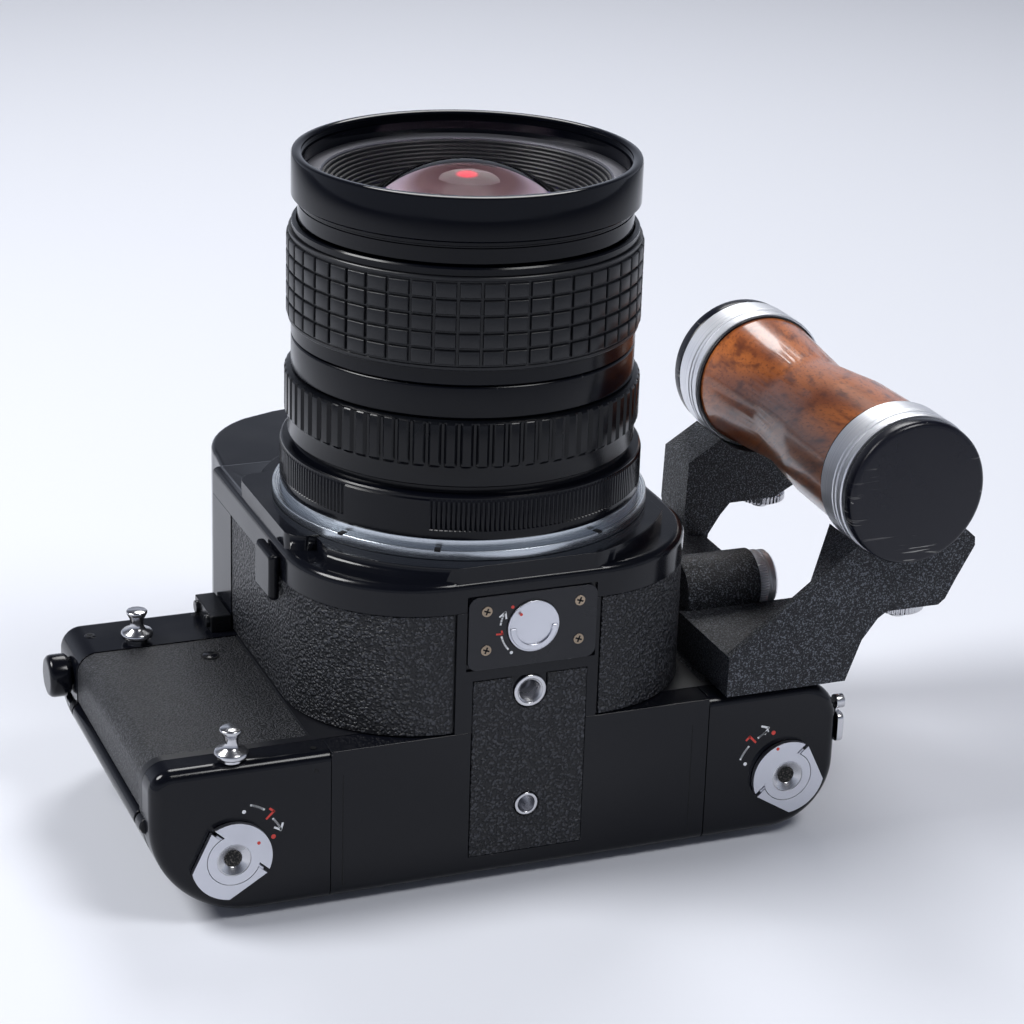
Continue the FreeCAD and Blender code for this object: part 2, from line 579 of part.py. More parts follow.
def body_casting():
    floor = -s.band_edge
    roof = s.door_top
    seam = s.seam_half
    solid = join(
        slab("xz", -s.cover_joint, floor, whole_outline(0)),
        slab("xz", floor, s.top_skirt, casting_outline()),
        slab("xz", s.top_skirt, roof, whole_outline(door_seat)),
        box((-s.box_half, s.box_half), (-s.cover_joint, s.top_skirt - s.skin_face),
            (front - s.skin_seat, front)),
        box((-seam, seam), (s.top_skirt - s.skin_face, s.finder_seat),
            (front - s.corner_front_left, front)),
        box((-seam, seam), (roof, s.finder_seat), (back, front)),
        hinge_bar(s.barrel_radius, s.top_skirt + s.skin_face, s.knuckle_end))
    chambers = []
    for x in key_places.values():
        chambers.append(rod("y", chamber, (x, -s.chamber_half, s.key_level), s.chamber_half * 2))
        chambers.append(rod("y", s.key_shaft + s.run_gap, (x, -s.cover_joint - PAST, s.key_level),
                            s.cover_joint))
    slots = [
        box(span(-s.key_left, chamber), span(0, s.chamber_half), (back, s.key_level)),
        box((s.key_right - chamber, right + PAST), span(0, s.chamber_half), (back, s.slot_right))]
    bearings = [rod("y", s.key_shaft + s.run_gap, (-s.key_left, 0, s.key_level), roof + PAST)]
    for side in (-1, 1):
        bearings.append(rod(
            "y", s.drum_pin + s.run_gap,
            (s.drum_place * side, -s.shutter_half_y - s.drum_pin_length - s.shell_gap,
             s.drum_level),
            (s.shutter_half_y + s.drum_pin_length + s.shell_gap) * 2))
    spaces = [
        box((-s.key_left, s.key_right), span(0, s.chamber_half), (back, s.film_plane)),
        box(span(0, s.gate_width / 2), span(0, s.gate_height / 2), (back, s.shutter_front)),
        box(span(0, s.shutter_half_x), span(0, s.shutter_half_y),
            (s.film_plane + s.gate_plate, s.shutter_front)),
        box(span(0, s.mirror_space), (-s.mirror_floor, s.mirror_roof),
            (s.mirror_back, front + PAST)),
        *screen_room(front + PAST),
        rod("x", s.mirror_rod + s.run_gap,
            (-s.mirror_rod_half - s.shell_gap, s.mirror_hinge_up, s.mirror_hinge_in),
            (s.mirror_rod_half + s.shell_gap) * 2),
        hinge_bar(s.barrel_radius + s.shell_gap, floor - s.shell_gap, s.top_skirt),
        hinge_bar(s.pin_head + s.shell_gap, -s.pin_start - s.shell_gap, floor),
        hinge_bar(s.pin_radius + s.run_gap, s.top_skirt, s.knuckle_end + PAST),
        rod("x", s.selector_shaft + s.run_gap, (left, s.selector_y, s.selector_z),
            s.body_left - s.selector_end + s.shell_gap)]
    for x, y in lug_places:
        spaces.append(rod("z", s.lug_stud + s.run_gap, (x, y, s.lug_stud_end - s.shell_gap),
                          s.box_half))
    stub = rod("y", s.key_shaft, (s.key_right, s.key_shaft_end, s.key_level),
               s.chamber_half - s.key_shaft_end + PAST)
    finish("body_casting", join(cut(solid, *chambers, *slots, *bearings, *spaces), stub))


def screen_room(end):
    """The light opening above the mirror and the ledge that the screen rests on."""
    room = s.screen_edge
    return [
        box(span(0, s.screen_half - room), (s.mirror_roof - PAST, s.finder_seat + PAST),
            (s.screen_back + room, end)),
        box(span(0, s.screen_half + s.shell_gap), (s.screen_seat, s.finder_seat + PAST),
            (s.screen_back - s.shell_gap, end))]


def bottom_covers():
    wall = s.cover_wall
    roof = -s.cover_joint - s.joint_gap
    outlines = {"left": left_outline, "right": right_outline}
    for side, outline in outlines.items():
        sign = -1 if side == "left" else 1
        seam = (s.seam_half + s.joint_gap) * sign
        inner = (s.seam_half + s.joint_gap + wall) * sign
        skin = slab("xz", bottom, roof, outline(0, seam))
        seam_x = value_of(seam)
        lowest = lies_at("y", bottom)
        soften(skin, s.cover_edge, lambda edge: lowest(edge) and not lies_at("x", seam_x)(edge))
        hollow = slab("xz", bottom + wall, roof + PAST, outline(wall, inner))
        holes = [rod("y", s.key_hub + s.run_gap, (key_places[side], bottom - PAST, s.key_level),
                     s.cover_edge + PAST)]
        holes += [rod("z", s.lug_stud + s.run_gap, (x, y, front - s.corner_front_left),
                      s.corner_front_left + PAST)
                  for x, y in lug_places if value_of(x) * sign > 0 > value_of(y)]
        if side == "left":
            holes.append(hinge_bar(s.pin_head + s.shell_gap, -s.pin_start - s.shell_gap,
                                   roof + PAST))
        finish(f"bottom_cover_{side}", cut(skin, hollow, *holes))


def bottom_plate():
    wall = s.cover_wall
    roof = -s.cover_joint - s.joint_gap
    skin = slab("xz", bottom, roof, [
        (-s.seam_half, back), (s.seam_half, back), (s.seam_half, front), (-s.seam_half, front)])
    lowest, rear = lies_at("y", bottom), lies_at("z", back)
    soften(skin, s.cover_edge, lambda edge: lowest(edge) and rear(edge))
    hollow = box(span(0, s.seam_half - wall), (bottom + wall, roof + PAST),
                 (back + wall, front - wall))
    rib = box(span(s.centre_offset, s.rib_half), (bottom + wall, roof), (s.rib_back, front - wall))
    bush = rod("y", s.register_bush + s.run_gap, (s.centre_offset, bottom - PAST, s.register_level),
               s.body_bottom - s.register_end + PAST)
    finish("bottom_plate", cut(join(cut(skin, hollow), rib), bush, spine_leather_room()))


def spine_leather_room():
    gap = s.joint_gap
    return box(span(s.centre_offset, s.spine_leather_half + gap),
               (bottom - PAST, bottom + s.spine_leather_depth),
               (s.spine_leather_back - gap, s.spine_leather_front + gap))


def top_bore(shaft, x, z):
    """The hole that a control's shaft turns or slides in, through a top cover."""
    return rod("y", shaft + s.run_gap, (x, s.door_top, z), s.finder_seat - s.door_top)


def top_covers():
    wall = s.cover_wall
    outlines = {"left": left_outline, "right": right_outline}
    for side, outline in outlines.items():
        sign = -1 if side == "left" else 1
        seam = (s.seam_half + s.joint_gap) * sign
        inner = (s.seam_half - s.joint_gap) * sign
        skin = slab("xz", s.top_skirt, top, outline(0, seam))
        seam_x = value_of(seam)
        highest = lies_at("y", top)
        soften(skin, s.top_edge, lambda edge: highest(edge) and not lies_at("x", seam_x)(edge))
        hollow = slab("xz", s.top_skirt - PAST, top - wall, outline(wall, inner))
        outer = (s.body_left + s.body_right) * sign
        low, high = (outer, 0) if side == "left" else (0, outer)
        rear = box((low, high), (s.top_skirt - PAST, s.door_top), (back - PAST, s.skirt_split))
        holes = [rod("z", s.lug_stud + s.run_gap, (x, y, front - s.corner_front_left),
                     s.corner_front_left + PAST)
                 for x, y in lug_places if value_of(x) * sign > 0 and value_of(y) > 0]
        if side == "left":
            holes.append(top_bore(s.key_shaft, -s.key_left, s.key_level))
            holes.append(top_bore(s.release_stem, -s.release_x, s.release_z))
            holes.append(rod("x", s.selector_shaft + s.run_gap,
                             (left - PAST, s.selector_y, s.selector_z), s.cover_edge + PAST))
        else:
            holes.append(top_bore(s.dial_shaft, s.dial_x, s.dial_z))
        finish(f"top_cover_{side}", cut(skin, hollow, rear, *holes))


def box_outline(inset):
    """Front view of the mirror box, x against y, a set distance inside its outer skin."""
    half, corner = s.box_half - inset, s.box_corner - inset
    return [
        (half, s.finder_seat), (-half, s.finder_seat),
        (-half, bottom + s.box_corner, corner), (-s.box_half + s.box_corner, bottom + inset),
        (s.box_half - s.box_corner, bottom + inset, corner), (half, bottom + s.box_corner)]


def mirror_box_housing():
    middle = s.centre_offset
    shell = slab("xy", front, s.box_front, box_outline(s.skin_seat))
    strips = [
        box((-s.box_half, -s.box_half + s.cover_wall), (s.strip_edge, s.finder_seat),
            (front, s.box_front)),
        box((s.box_half - s.cover_wall, s.box_half), (s.strip_edge, s.finder_seat),
            (front, s.box_front)),
        box(span(0, s.spine_half), (bottom, bottom + s.cover_wall), (front, s.box_front))]
    rooms = [
        box(span(0, s.mirror_space), (-s.mirror_floor, s.mirror_roof),
            (front - PAST, s.box_front + PAST)),
        box(span(0, s.low_pocket_half), (-s.low_pocket_low, -s.low_pocket_high),
            (front - PAST, s.pocket_front)),
        box((-s.side_pocket_out, -s.side_pocket_start), (-s.side_pocket_low, s.side_pocket_high),
            (front - PAST, s.pocket_front)),
        box((s.side_pocket_start, s.side_pocket_out), (-s.side_pocket_low, s.side_pocket_high),
            (front - PAST, s.pocket_front)),
        box(span(0, s.screen_half - s.screen_edge), (s.mirror_roof - PAST, s.finder_seat + PAST),
            (front - PAST, s.screen_front - s.screen_edge)),
        box(span(0, s.screen_half + s.shell_gap), (s.screen_seat, s.finder_seat + PAST),
            (front - PAST, s.screen_front + s.shell_gap))]
    bosses = [
        rod("y", s.tripod_boss, (middle, bottom + s.joint_gap, s.tripod_level),
            s.body_bottom - s.low_pocket_high),
        rod("y", s.cap_radius + s.joint_gap + s.battery_wall,
            (middle, bottom + s.joint_gap, s.battery_level),
            s.body_bottom - s.cap_end + s.cell_length + s.battery_wall)]
    bores = [
        rod("y", s.tripod_bush + s.run_gap, (middle, bottom - PAST, s.tripod_level),
            s.body_bottom - s.bush_end + PAST),
        spine_leather_room(), *battery_room()]
    finish("mirror_box_housing", cut(join(cut(join(shell, *strips), *rooms), *bosses), *bores))


def battery_room():
    """What the battery, its plate and the plate's screws need of the spine."""
    gap = s.joint_gap
    room = [
        box(span(s.centre_offset, s.battery_half + gap),
            (bottom - PAST, bottom + s.battery_depth),
            (s.battery_back - gap, s.battery_front + gap)),
        rod("y", s.cap_radius + gap, (s.centre_offset, bottom - PAST, s.battery_level),
            s.body_bottom - s.cap_end + s.cell_length + 1 + gap)]
    for x, z in battery_screws:
        room.append(rod("y", s.screw_shank + s.run_gap, (x, bottom - PAST, z),
                        s.body_bottom - s.screw_end + 1 + gap))
    return room


def front_frame():
    bezel = slab("xy", s.box_front, s.frame_front, box_outline(0))
    foremost = lies_at("z", s.frame_front)
    soften(bezel, s.frame_edge, foremost)
    boss = overlap(
        rod("z", s.boss_radius, (0, 0, s.frame_space), s.boss_front - s.frame_space),
        box(span(0, s.boss_half), (-s.boss_low, s.finder_seat - s.frame_edge),
            (s.frame_space, s.boss_front)))
    lobe = slab("xy", s.frame_space, s.lobe_front, [
        (-s.lobe_right, -s.lobe_low), (-s.lobe_right, s.lobe_high),
        (-s.lobe_left + s.lobe_corner, s.lobe_high, s.lobe_corner),
        (-s.lobe_left, s.lobe_high - s.lobe_corner),
        (-s.lobe_left, -s.lobe_low + s.lobe_corner, s.lobe_corner),
        (-s.lobe_left + s.lobe_corner, -s.lobe_low)])
    rooms = [
        box(span(0, s.mirror_space), (-s.mirror_floor, s.mirror_roof),
            (s.box_front - PAST, s.frame_space)),
        rod("z", s.throat, (0, 0, s.box_front), s.boss_front - s.box_front + PAST),
        rod("z", s.ring_radius + s.joint_gap, (0, 0, s.boss_front), s.boss_front),
        rod("y", s.cap_radius + s.battery_wall + s.shell_gap,
            (s.centre_offset, bottom, s.battery_level), s.body_bottom - s.throat / 2),
        *battery_room()]
    finish("front_frame", cut(join(bezel, boss, lobe), *rooms))


def lens_mount_ring():
    finish("lens_mount_ring", turned("z", [
        (s.ring_bore, s.boss_front), (s.ring_radius, s.boss_front),
        (s.ring_radius, s.ring_low), (s.ring_step, s.ring_low),
        (s.ring_step, s.flange), (s.ring_bore, s.flange)]))


def leather():
    """The panels glued to the mirror box and spine, and those round the film body."""
    face, seat = s.skin_face, s.skin_seat
    outer, inner = s.box_half - face, s.box_half - seat
    corner_x = s.box_half - s.box_corner
    corner_y = bottom + s.box_corner
    low, high = front + s.shell_gap, s.box_front - s.joint_gap
    right_side = slab("xy", low, high, [
        (outer, s.strip_edge - face), (inner, s.strip_edge - face),
        (inner, corner_y, seat - s.box_corner), (corner_x, bottom + seat),
        (corner_x, bottom + face, s.box_corner - face), (outer, corner_y)])
    left_side = slab("xy", low, high, [
        (-inner, s.strip_edge - face), (-outer, s.strip_edge - face),
        (-outer, corner_y, s.box_corner - face), (-corner_x, bottom + face),
        (-corner_x, bottom + seat, seat - s.box_corner), (-inner, corner_y)])
    spine = cut(
        box(span(s.centre_offset, s.spine_leather_half),
            (bottom - face, bottom + s.spine_leather_depth),
            (s.spine_leather_back, s.spine_leather_front)),
        rod("y", s.tripod_bush + s.shell_gap, (s.centre_offset, bottom - PAST, s.tripod_level),
            PAST * 2),
        box(span(s.centre_offset, s.tripod_bush + s.shell_gap), (bottom - PAST, bottom + PAST),
            (s.tripod_level, s.spine_leather_front + PAST)),
        rod("y", s.register_bush + s.shell_gap,
            (s.centre_offset, bottom - PAST, s.register_level), PAST * 2))
    finish("leather_panels", group(left_side, right_side, spine))

    start = s.box_half + s.shell_gap
    step = back + s.corner_back_right + s.shell_gap
    edge = s.hinge_level + s.barrel_radius + s.shell_gap * 2
    low, high = -s.band_edge + face, s.top_skirt - face
    right_skin = slab("xz", low, high, [
        (right - seat, step), (right - face, step),
        (right - face, front - s.corner_front_right, s.corner_front_right - face),
        (right - s.corner_front_right, front - face), (start, front - face),
        (start, front - seat),
        (right - s.corner_front_right, front - seat, seat - s.corner_front_right),
        (right - seat, front - s.corner_front_right)])
    left_skin = slab("xz", low, high, [
        (left + face, edge), (left + seat, edge),
        (left + seat, front - s.corner_front_left, seat - s.corner_front_left),
        (left + s.corner_front_left, front - seat), (-start, front - seat),
        (-start, front - face),
        (left + s.corner_front_left, front - face, s.corner_front_left - face),
        (left + face, front - s.corner_front_left)])
    finish("leather_film", group(left_skin, right_skin))


def bottom_fittings():
    middle = s.centre_offset
    finish("bottom_bushes", group(
        turned("y", [
            (s.tripod_thread, bottom - s.bush_rise), (s.tripod_bush, bottom - s.bush_rise),
            (s.tripod_bush, -s.bush_end), (0, -s.bush_end),
            (0, bottom - s.bush_rise + s.tripod_depth),
            (s.tripod_thread, bottom - s.bush_rise + s.tripod_depth)],
            (middle, 0, s.tripod_level)),
        turned("y", [
            (s.register_hole, bottom - s.bush_rise), (s.register_bush, bottom - s.bush_rise),
            (s.register_bush, -s.register_end), (0, -s.register_end),
            (0, bottom - s.bush_rise + s.register_depth),
            (s.register_hole, bottom - s.bush_rise + s.register_depth)],
            (middle, 0, s.register_level))))

    plate = slab("xz", bottom - s.battery_rise, bottom + s.battery_depth, [
        (middle - s.battery_half, s.battery_back), (middle + s.battery_half, s.battery_back),
        (middle + s.battery_half, s.battery_front), (middle - s.battery_half, s.battery_front)])
    thickness = s.battery_rise + s.battery_depth
    soften(plate, s.battery_corner,
           lambda edge: abs(edge.Length - value_of(thickness)) < FACE_TOLERANCE)
    cap_hole = rod("y", s.cap_radius + s.joint_gap, (middle, bottom - PAST, s.battery_level),
                   PAST * 2)
    holes = [rod("y", s.screw_shank + s.run_gap, (x, bottom - PAST, z), PAST * 2)
             for x, z in battery_screws]
    finish("battery_plate", cut(plate, cap_hole, *holes))
    head = bottom - s.battery_rise
    finish("battery_plate_screws", group(*[
        turned("y", [
            (0, head - s.screw_rise), (s.screw_head, head - s.screw_rise), (s.screw_head, head),
            (s.screw_shank, head), (s.screw_shank, -s.screw_end), (0, -s.screw_end)], (x, 0, z))
        for x, z in battery_screws]))
    outer = bottom - s.cap_rise
    ring = tube("y", s.cap_ring_out, s.cap_ring_in,
                (middle, outer - s.cap_ring, s.battery_level), s.cap_ring * 2)
    half_ring = overlap(ring, box(
        span(middle, s.cap_radius), (outer - PAST, outer + PAST),
        (s.battery_level - s.cap_radius, s.battery_level)))
    disc = rod("y", s.cap_radius, (middle, outer, s.battery_level),
               s.body_bottom + s.cap_rise - s.cap_end)
    finish("battery_cap", join(disc, half_ring))
    finish("battery_cell", rod(
        "y", s.cell_radius, (middle, -s.cap_end + s.joint_gap, s.battery_level), s.cell_length))


def strap_lugs():
    reach = front + s.lug_length
    base = front + s.lug_base_height
    collar = base + (s.lug_length - s.lug_head) / 2
    neck = reach - s.lug_head
    finish("strap_lugs", group(*[
        turned("z", [
            (0, s.lug_stud_end), (s.lug_stud, s.lug_stud_end), (s.lug_stud, front),
            (s.lug_base, front), (s.lug_base, base), (s.lug_neck, base),
            (s.lug_collar, base + s.lug_collar_edge), (s.lug_collar, collar - s.lug_collar_edge),
            (s.lug_neck, collar), (s.lug_neck, neck), (s.lug_head, neck + s.lug_head_edge),
            (s.lug_head, reach - s.lug_head_edge), (s.lug_neck, reach), (0, reach)], (x, y, 0))
        for x, y in lug_places]))


def hinge_and_door():
    gap = s.shell_gap
    finish("hinge_pin", join(
        hinge_bar(s.pin_radius, -s.pin_start, s.knuckle_end),
        hinge_bar(s.pin_head, -s.pin_start, -s.band_edge - gap)))

    wall = s.door_wall
    seam = s.seam_half
    low, high = -s.door_bottom, s.door_top - gap
    panel = slab("xz", low, high, [
        (left, back + s.corner_back_left, s.corner_back_left),
        (left + s.corner_back_left, back), (-seam, back), (-seam, 0), (seam, 0), (seam, back),
        (right - s.corner_back_right, back, s.corner_back_right),
        (right, back + s.corner_back_right - gap),
        (right - wall, back + s.corner_back_right - gap, wall - s.corner_back_right),
        (right - s.corner_back_right, back + wall),
        (left + s.corner_back_left, back + wall, wall - s.corner_back_left),
        (left + wall, back + s.corner_back_left)])
    over_hinge = box((left - s.barrel_radius, left + s.barrel_radius * 2),
                     (low - PAST, high + PAST),
                     (s.hinge_level - s.barrel_radius / 2, back + s.corner_back_left + PAST))
    beside_knuckle = box((left - PAST, left + s.barrel_radius * 2),
                         (s.barrel_end, high + PAST),
                         (s.hinge_level - s.barrel_radius - gap, s.skirt_split))
    barrel = hinge_bar(s.barrel_radius, low, s.barrel_end)
    hollows = [
        beside_knuckle, hinge_bar(s.pin_radius + s.run_gap, low - PAST, s.barrel_end + PAST),
        box(span(0, s.back_leather_half + s.joint_gap),
            (-s.back_leather_low - s.joint_gap, s.back_leather_high + s.joint_gap),
            (-1, s.door_recess)),
        box(span(0, s.plate_half_x + gap), span(0, s.plate_half_y + gap),
            (s.plate_recess, back + wall + PAST))]
    finish("back_door", cut(join(cut(panel, over_hinge), barrel), *hollows))
    finish("leather_back", box(
        span(0, s.back_leather_half), (-s.back_leather_low, s.back_leather_high),
        (s.door_recess - s.leather_thick, s.door_recess)))

    plate_top = s.film_plane - s.plate_gap
    plate_under = plate_top - s.plate_thick
    springs = [box(span(0, s.spring_half), span(s.spring_place * side, s.spring_width / 2),
                   (plate_under - s.spring_thick, plate_under)) for side in (-1, 1)]
    finish("pressure_plate", join(
        box(span(0, s.plate_half_x), span(0, s.plate_half_y), (plate_under, plate_top)),
        *springs))

    start = right + gap
    tab = slab("yz", start, start + s.latch_thick, [
        (-s.latch_low, s.latch_back), (-s.latch_high, s.latch_back),
        (-s.latch_high, s.latch_front), (-s.latch_low, s.latch_front)])
    thick = value_of(s.latch_thick)
    soften(tab, s.latch_thick, lambda edge: abs(edge.Length - thick) < FACE_TOLERANCE)
    knob = rod("x", s.latch_knob, (start, -s.latch_knob_y, s.latch_knob_z), s.latch_knob_length)
    neck = box((start, start + s.latch_thick / 2), span(-s.latch_knob_y, s.latch_knob / 2),
               (s.latch_front - PAST, s.latch_knob_z))
    finish("back_latch", join(tab, knob, neck))


def film_keys():
    """Each film key is a sliding shaft, a disc that turns on it and a fold-up handle."""
    face = key_face - s.key_thick
    pivot = key_face - s.key_thick / 2
    for side, x in key_places.items():
        finish(f"key_shaft_{side}", cut(
            join(
                rod("y", s.key_stub, (x, face, s.key_level), s.key_thick + PAST),
                rod("y", s.key_hub, (x, key_face + s.run_gap, s.key_level),
                    s.body_bottom + s.shell_gap - s.run_gap - s.key_hub_end),
                rod("y", s.key_shaft, (x, face + s.key_thick, s.key_level),
                    s.body_bottom + s.shell_gap - s.key_shaft_end)),
            rod("y", s.key_socket, (x, face - PAST, s.key_level), s.key_socket_depth + PAST)))
        turn = about_y(KEY_FOLD_TURN if side == "left" else -KEY_FOLD_TURN)
        far = s.key_end * 2
        half_disc = overlap(
            rod("y", s.key_radius, (0, face, 0), s.key_thick),
            box((-far, far), (face, key_face), (s.key_fold + s.key_split, far)))
        pin_holes = [rod("x", s.key_pivot + s.run_gap, (start, pivot, s.key_fold), far)
                     for start in (s.key_pivot_start, -s.key_pivot_start - far)]
        disc = cut(
            join(half_disc, rod("y", s.key_inner, (0, face, 0), s.key_thick)),
            rod("y", s.key_stub + s.run_gap, (0, face - PAST, 0), s.key_thick + PAST * 2),
            *pin_holes)
        finish(f"key_disc_{side}", place(disc, (x, 0, s.key_level), turn))
        fold = s.key_fold - s.joint_gap
        handle = cut(
            slab("xz", face, key_face, [
                (-s.key_side, fold), (-s.key_end_u, -s.key_end_v, s.key_end),
                (s.key_end_u, -s.key_end_v), (s.key_side, fold)]),
            rod("y", s.key_inner + s.joint_gap, (0, face - PAST, 0), s.key_thick + PAST * 2))
        reach = s.key_pivot_end - s.key_pivot_start - s.run_gap * 2
        pins = [rod("x", s.key_pivot, (start, pivot, s.key_fold), reach)
                for start in (s.key_pivot_start + s.run_gap * 2, -s.key_pivot_end)]
        finish(f"key_handle_{side}",
               place(join(handle, *pins), (x, 0, s.key_level), turn))


def film_spools():
    ends, core, flange = s.spool_half, s.spool_core, s.spool_half - s.spool_flange
    for name, x in (("takeup", -s.key_left), ("supply", s.key_right)):
        finish(f"film_spool_{name}", turned("y", [
            (s.key_shaft + s.run_gap * 2, -ends), (s.spool_radius, -ends),
            (s.spool_radius, -flange), (core, -flange), (core, flange),
            (s.spool_radius, flange), (s.spool_radius, ends),
            (s.key_shaft + s.run_gap * 2, ends)], (x, 0, s.key_level)))


def shutter_and_mirror():
    length = s.shutter_half_y - s.shell_gap
    finish("shutter_drums", group(*[
        join(rod("y", s.drum_radius, (s.drum_place * side, -length, s.drum_level), length * 2),
             rod("y", s.drum_pin, (s.drum_place * side, -length - s.drum_pin_length,
                                   s.drum_level), (length + s.drum_pin_length) * 2))
        for side in (-1, 1)]))
    finish("shutter_curtain", box(
        span(0, s.drum_place), span(0, length),
        (s.drum_level - s.drum_radius - s.curtain_thick - s.run_gap,
         s.drum_level - s.drum_radius - s.run_gap)))
    blade = box(span(0, s.mirror_half), (-s.mirror_rear, s.mirror_face), (0, s.mirror_length))
    spindle = rod("x", s.mirror_rod, (-s.mirror_rod_half, 0, 0), s.mirror_rod_half * 2)
    finish("reflex_mirror", place(
        join(blade, spindle), (0, s.mirror_hinge_up, s.mirror_hinge_in),
        FreeCAD.Rotation(FreeCAD.Vector(1, 0, 0), MIRROR_REST)))
    finish("focusing_screen", box(
        span(0, s.screen_half), (s.screen_seat, s.screen_seat + s.screen_thick),
        (s.screen_back, s.screen_front)))


def finder():
    def outline(inset, base):
        return [
            (s.finder_base - inset, base),
            (s.finder_side - inset, s.finder_side_up, s.finder_round),
            (s.finder_top_half - inset, s.finder_top_side - inset),
            (s.finder_ridge - inset, s.finder_ridge_up - inset), (0, s.finder_top - inset),
            (inset - s.finder_ridge, s.finder_ridge_up - inset),
            (inset - s.finder_top_half, s.finder_top_side - inset, s.finder_round),
            (inset - s.finder_side, s.finder_side_up), (inset - s.finder_base, base)]

    wall = s.finder_wall
    skin = slab("xy", s.finder_back, s.finder_front, outline(0, s.finder_seat))
    hollow = slab("xy", s.finder_back + wall, s.finder_front - wall,
                  outline(wall, s.finder_seat - PAST))
    window = rod("z", s.eyepiece_radius + s.run_gap, (0, s.eyepiece_up, s.finder_back - PAST),
                 wall + PAST * 2)
    finish("finder_housing", cut(skin, hollow, window))
    finish("eyepiece", tube("z", s.eyepiece_radius, s.eyepiece_bore,
                            (0, s.eyepiece_up, s.eyepiece_start),
                            s.eyepiece_end - s.eyepiece_start))
    prism = slab("xy", s.prism_back, s.prism_front, [
        (-s.prism_half, s.finder_seat), (s.prism_half, s.finder_seat),
        (s.prism_half, s.prism_side), (s.prism_roof, s.prism_top),
        (-s.prism_roof, s.prism_top), (-s.prism_half, s.prism_side)])
    sag = s.eye_glass_edge - s.eye_glass_back
    dome = (s.eyepiece_bore * s.eyepiece_bore + sag * sag) / (sag * 2)
    eye_glass = turned("z", [
        (0, s.eye_glass_back, dome), (s.eyepiece_bore, s.eye_glass_edge),
        (s.eyepiece_bore, s.eye_glass_front), (0, s.eye_glass_front)], (0, s.eyepiece_up, 0))
    finish("finder_glass", group(prism, eye_glass))


def sync_terminal():
    block = box((-s.sync_left, -s.box_half - s.shell_gap), (s.sync_low, s.sync_high),
                (front, s.sync_front))
    middle = (s.sync_low + s.sync_high) / 2
    contacts = [rod("x", s.sync_socket,
                    (-s.sync_left - s.sync_rise, middle + s.sync_place * side,
                     (front + s.sync_front) / 2), s.sync_rise + PAST) for side in (-1, 1)]
    finish("sync_sockets", join(block, *contacts))


def top_controls():
    deck = top + s.shell_gap
    pivot = (-s.key_left, deck, s.key_level)
    arm = slab("xz", deck, deck + s.lever_thick, [
        (0, -s.lever_root), (s.lever_reach, -s.lever_tip), (s.lever_reach, s.lever_tip),
        (0, s.lever_root)])
    place(arm, (-s.key_left, 0, s.key_level), about_y(LEVER_REST))
    finish("advance_lever", join(
        rod("y", s.lever_hub, pivot, s.lever_thick), arm,
        rod("y", s.key_shaft, (-s.key_left, s.lever_shaft_end, s.key_level),
            top - s.lever_shaft_end + PAST)))

    ring = tube("y", s.release_ring, s.release_bore, (-s.release_x, deck, s.release_z),
                s.release_ring_height)
    tab = box((-s.release_x - s.release_tab, -s.release_x - s.release_bore - PAST),
              (deck, deck + s.release_ring_height), span(s.release_z, s.release_tab_half))
    finish("release_lock_ring", join(ring, tab))
    head = deck + s.release_ring_height + s.shell_gap
    finish("release_button", join(
        rod("y", s.release_button, (-s.release_x, head, s.release_z), s.release_head),
        rod("y", s.release_stem, (-s.release_x, s.release_stem_end, s.release_z),
            head - s.release_stem_end + PAST)))

    finish("speed_dial", join(
        rod("y", s.dial_radius, (s.dial_x, deck, s.dial_z), s.dial_height),
        rod("y", s.dial_shaft, (s.dial_x, s.dial_shaft_end, s.dial_z),
            deck - s.dial_shaft_end + PAST)))

    end = left - s.shell_gap
    finish("selector_knob", join(
        rod("x", s.selector_radius, (end - s.selector_height, s.selector_y, s.selector_z),
            s.selector_height),
        rod("x", s.selector_shaft, (end - PAST, s.selector_y, s.selector_z),
            s.body_left + s.shell_gap + 1 - s.selector_end)))

    side = -s.box_half - s.shell_gap
    slide = box((side - s.tab_thick, side), (-s.tab_low, -s.tab_high), (s.tab_back, s.tab_front))
    rounded = doc.addObject("Part::Fillet", "rounded")
    rounded.Base = slide
    doc.recompute()
    outer = value_of(side - s.tab_thick)
    picked = [number for number, edge in enumerate(slide.Shape.Edges, start=1)
              if lies_at("x", outer)(edge)]
    rounded.Edges = [(number, value_of(s.tab_round), value_of(s.tab_round)) for number in picked]
    finish("mirror_lock_tab", rounded)


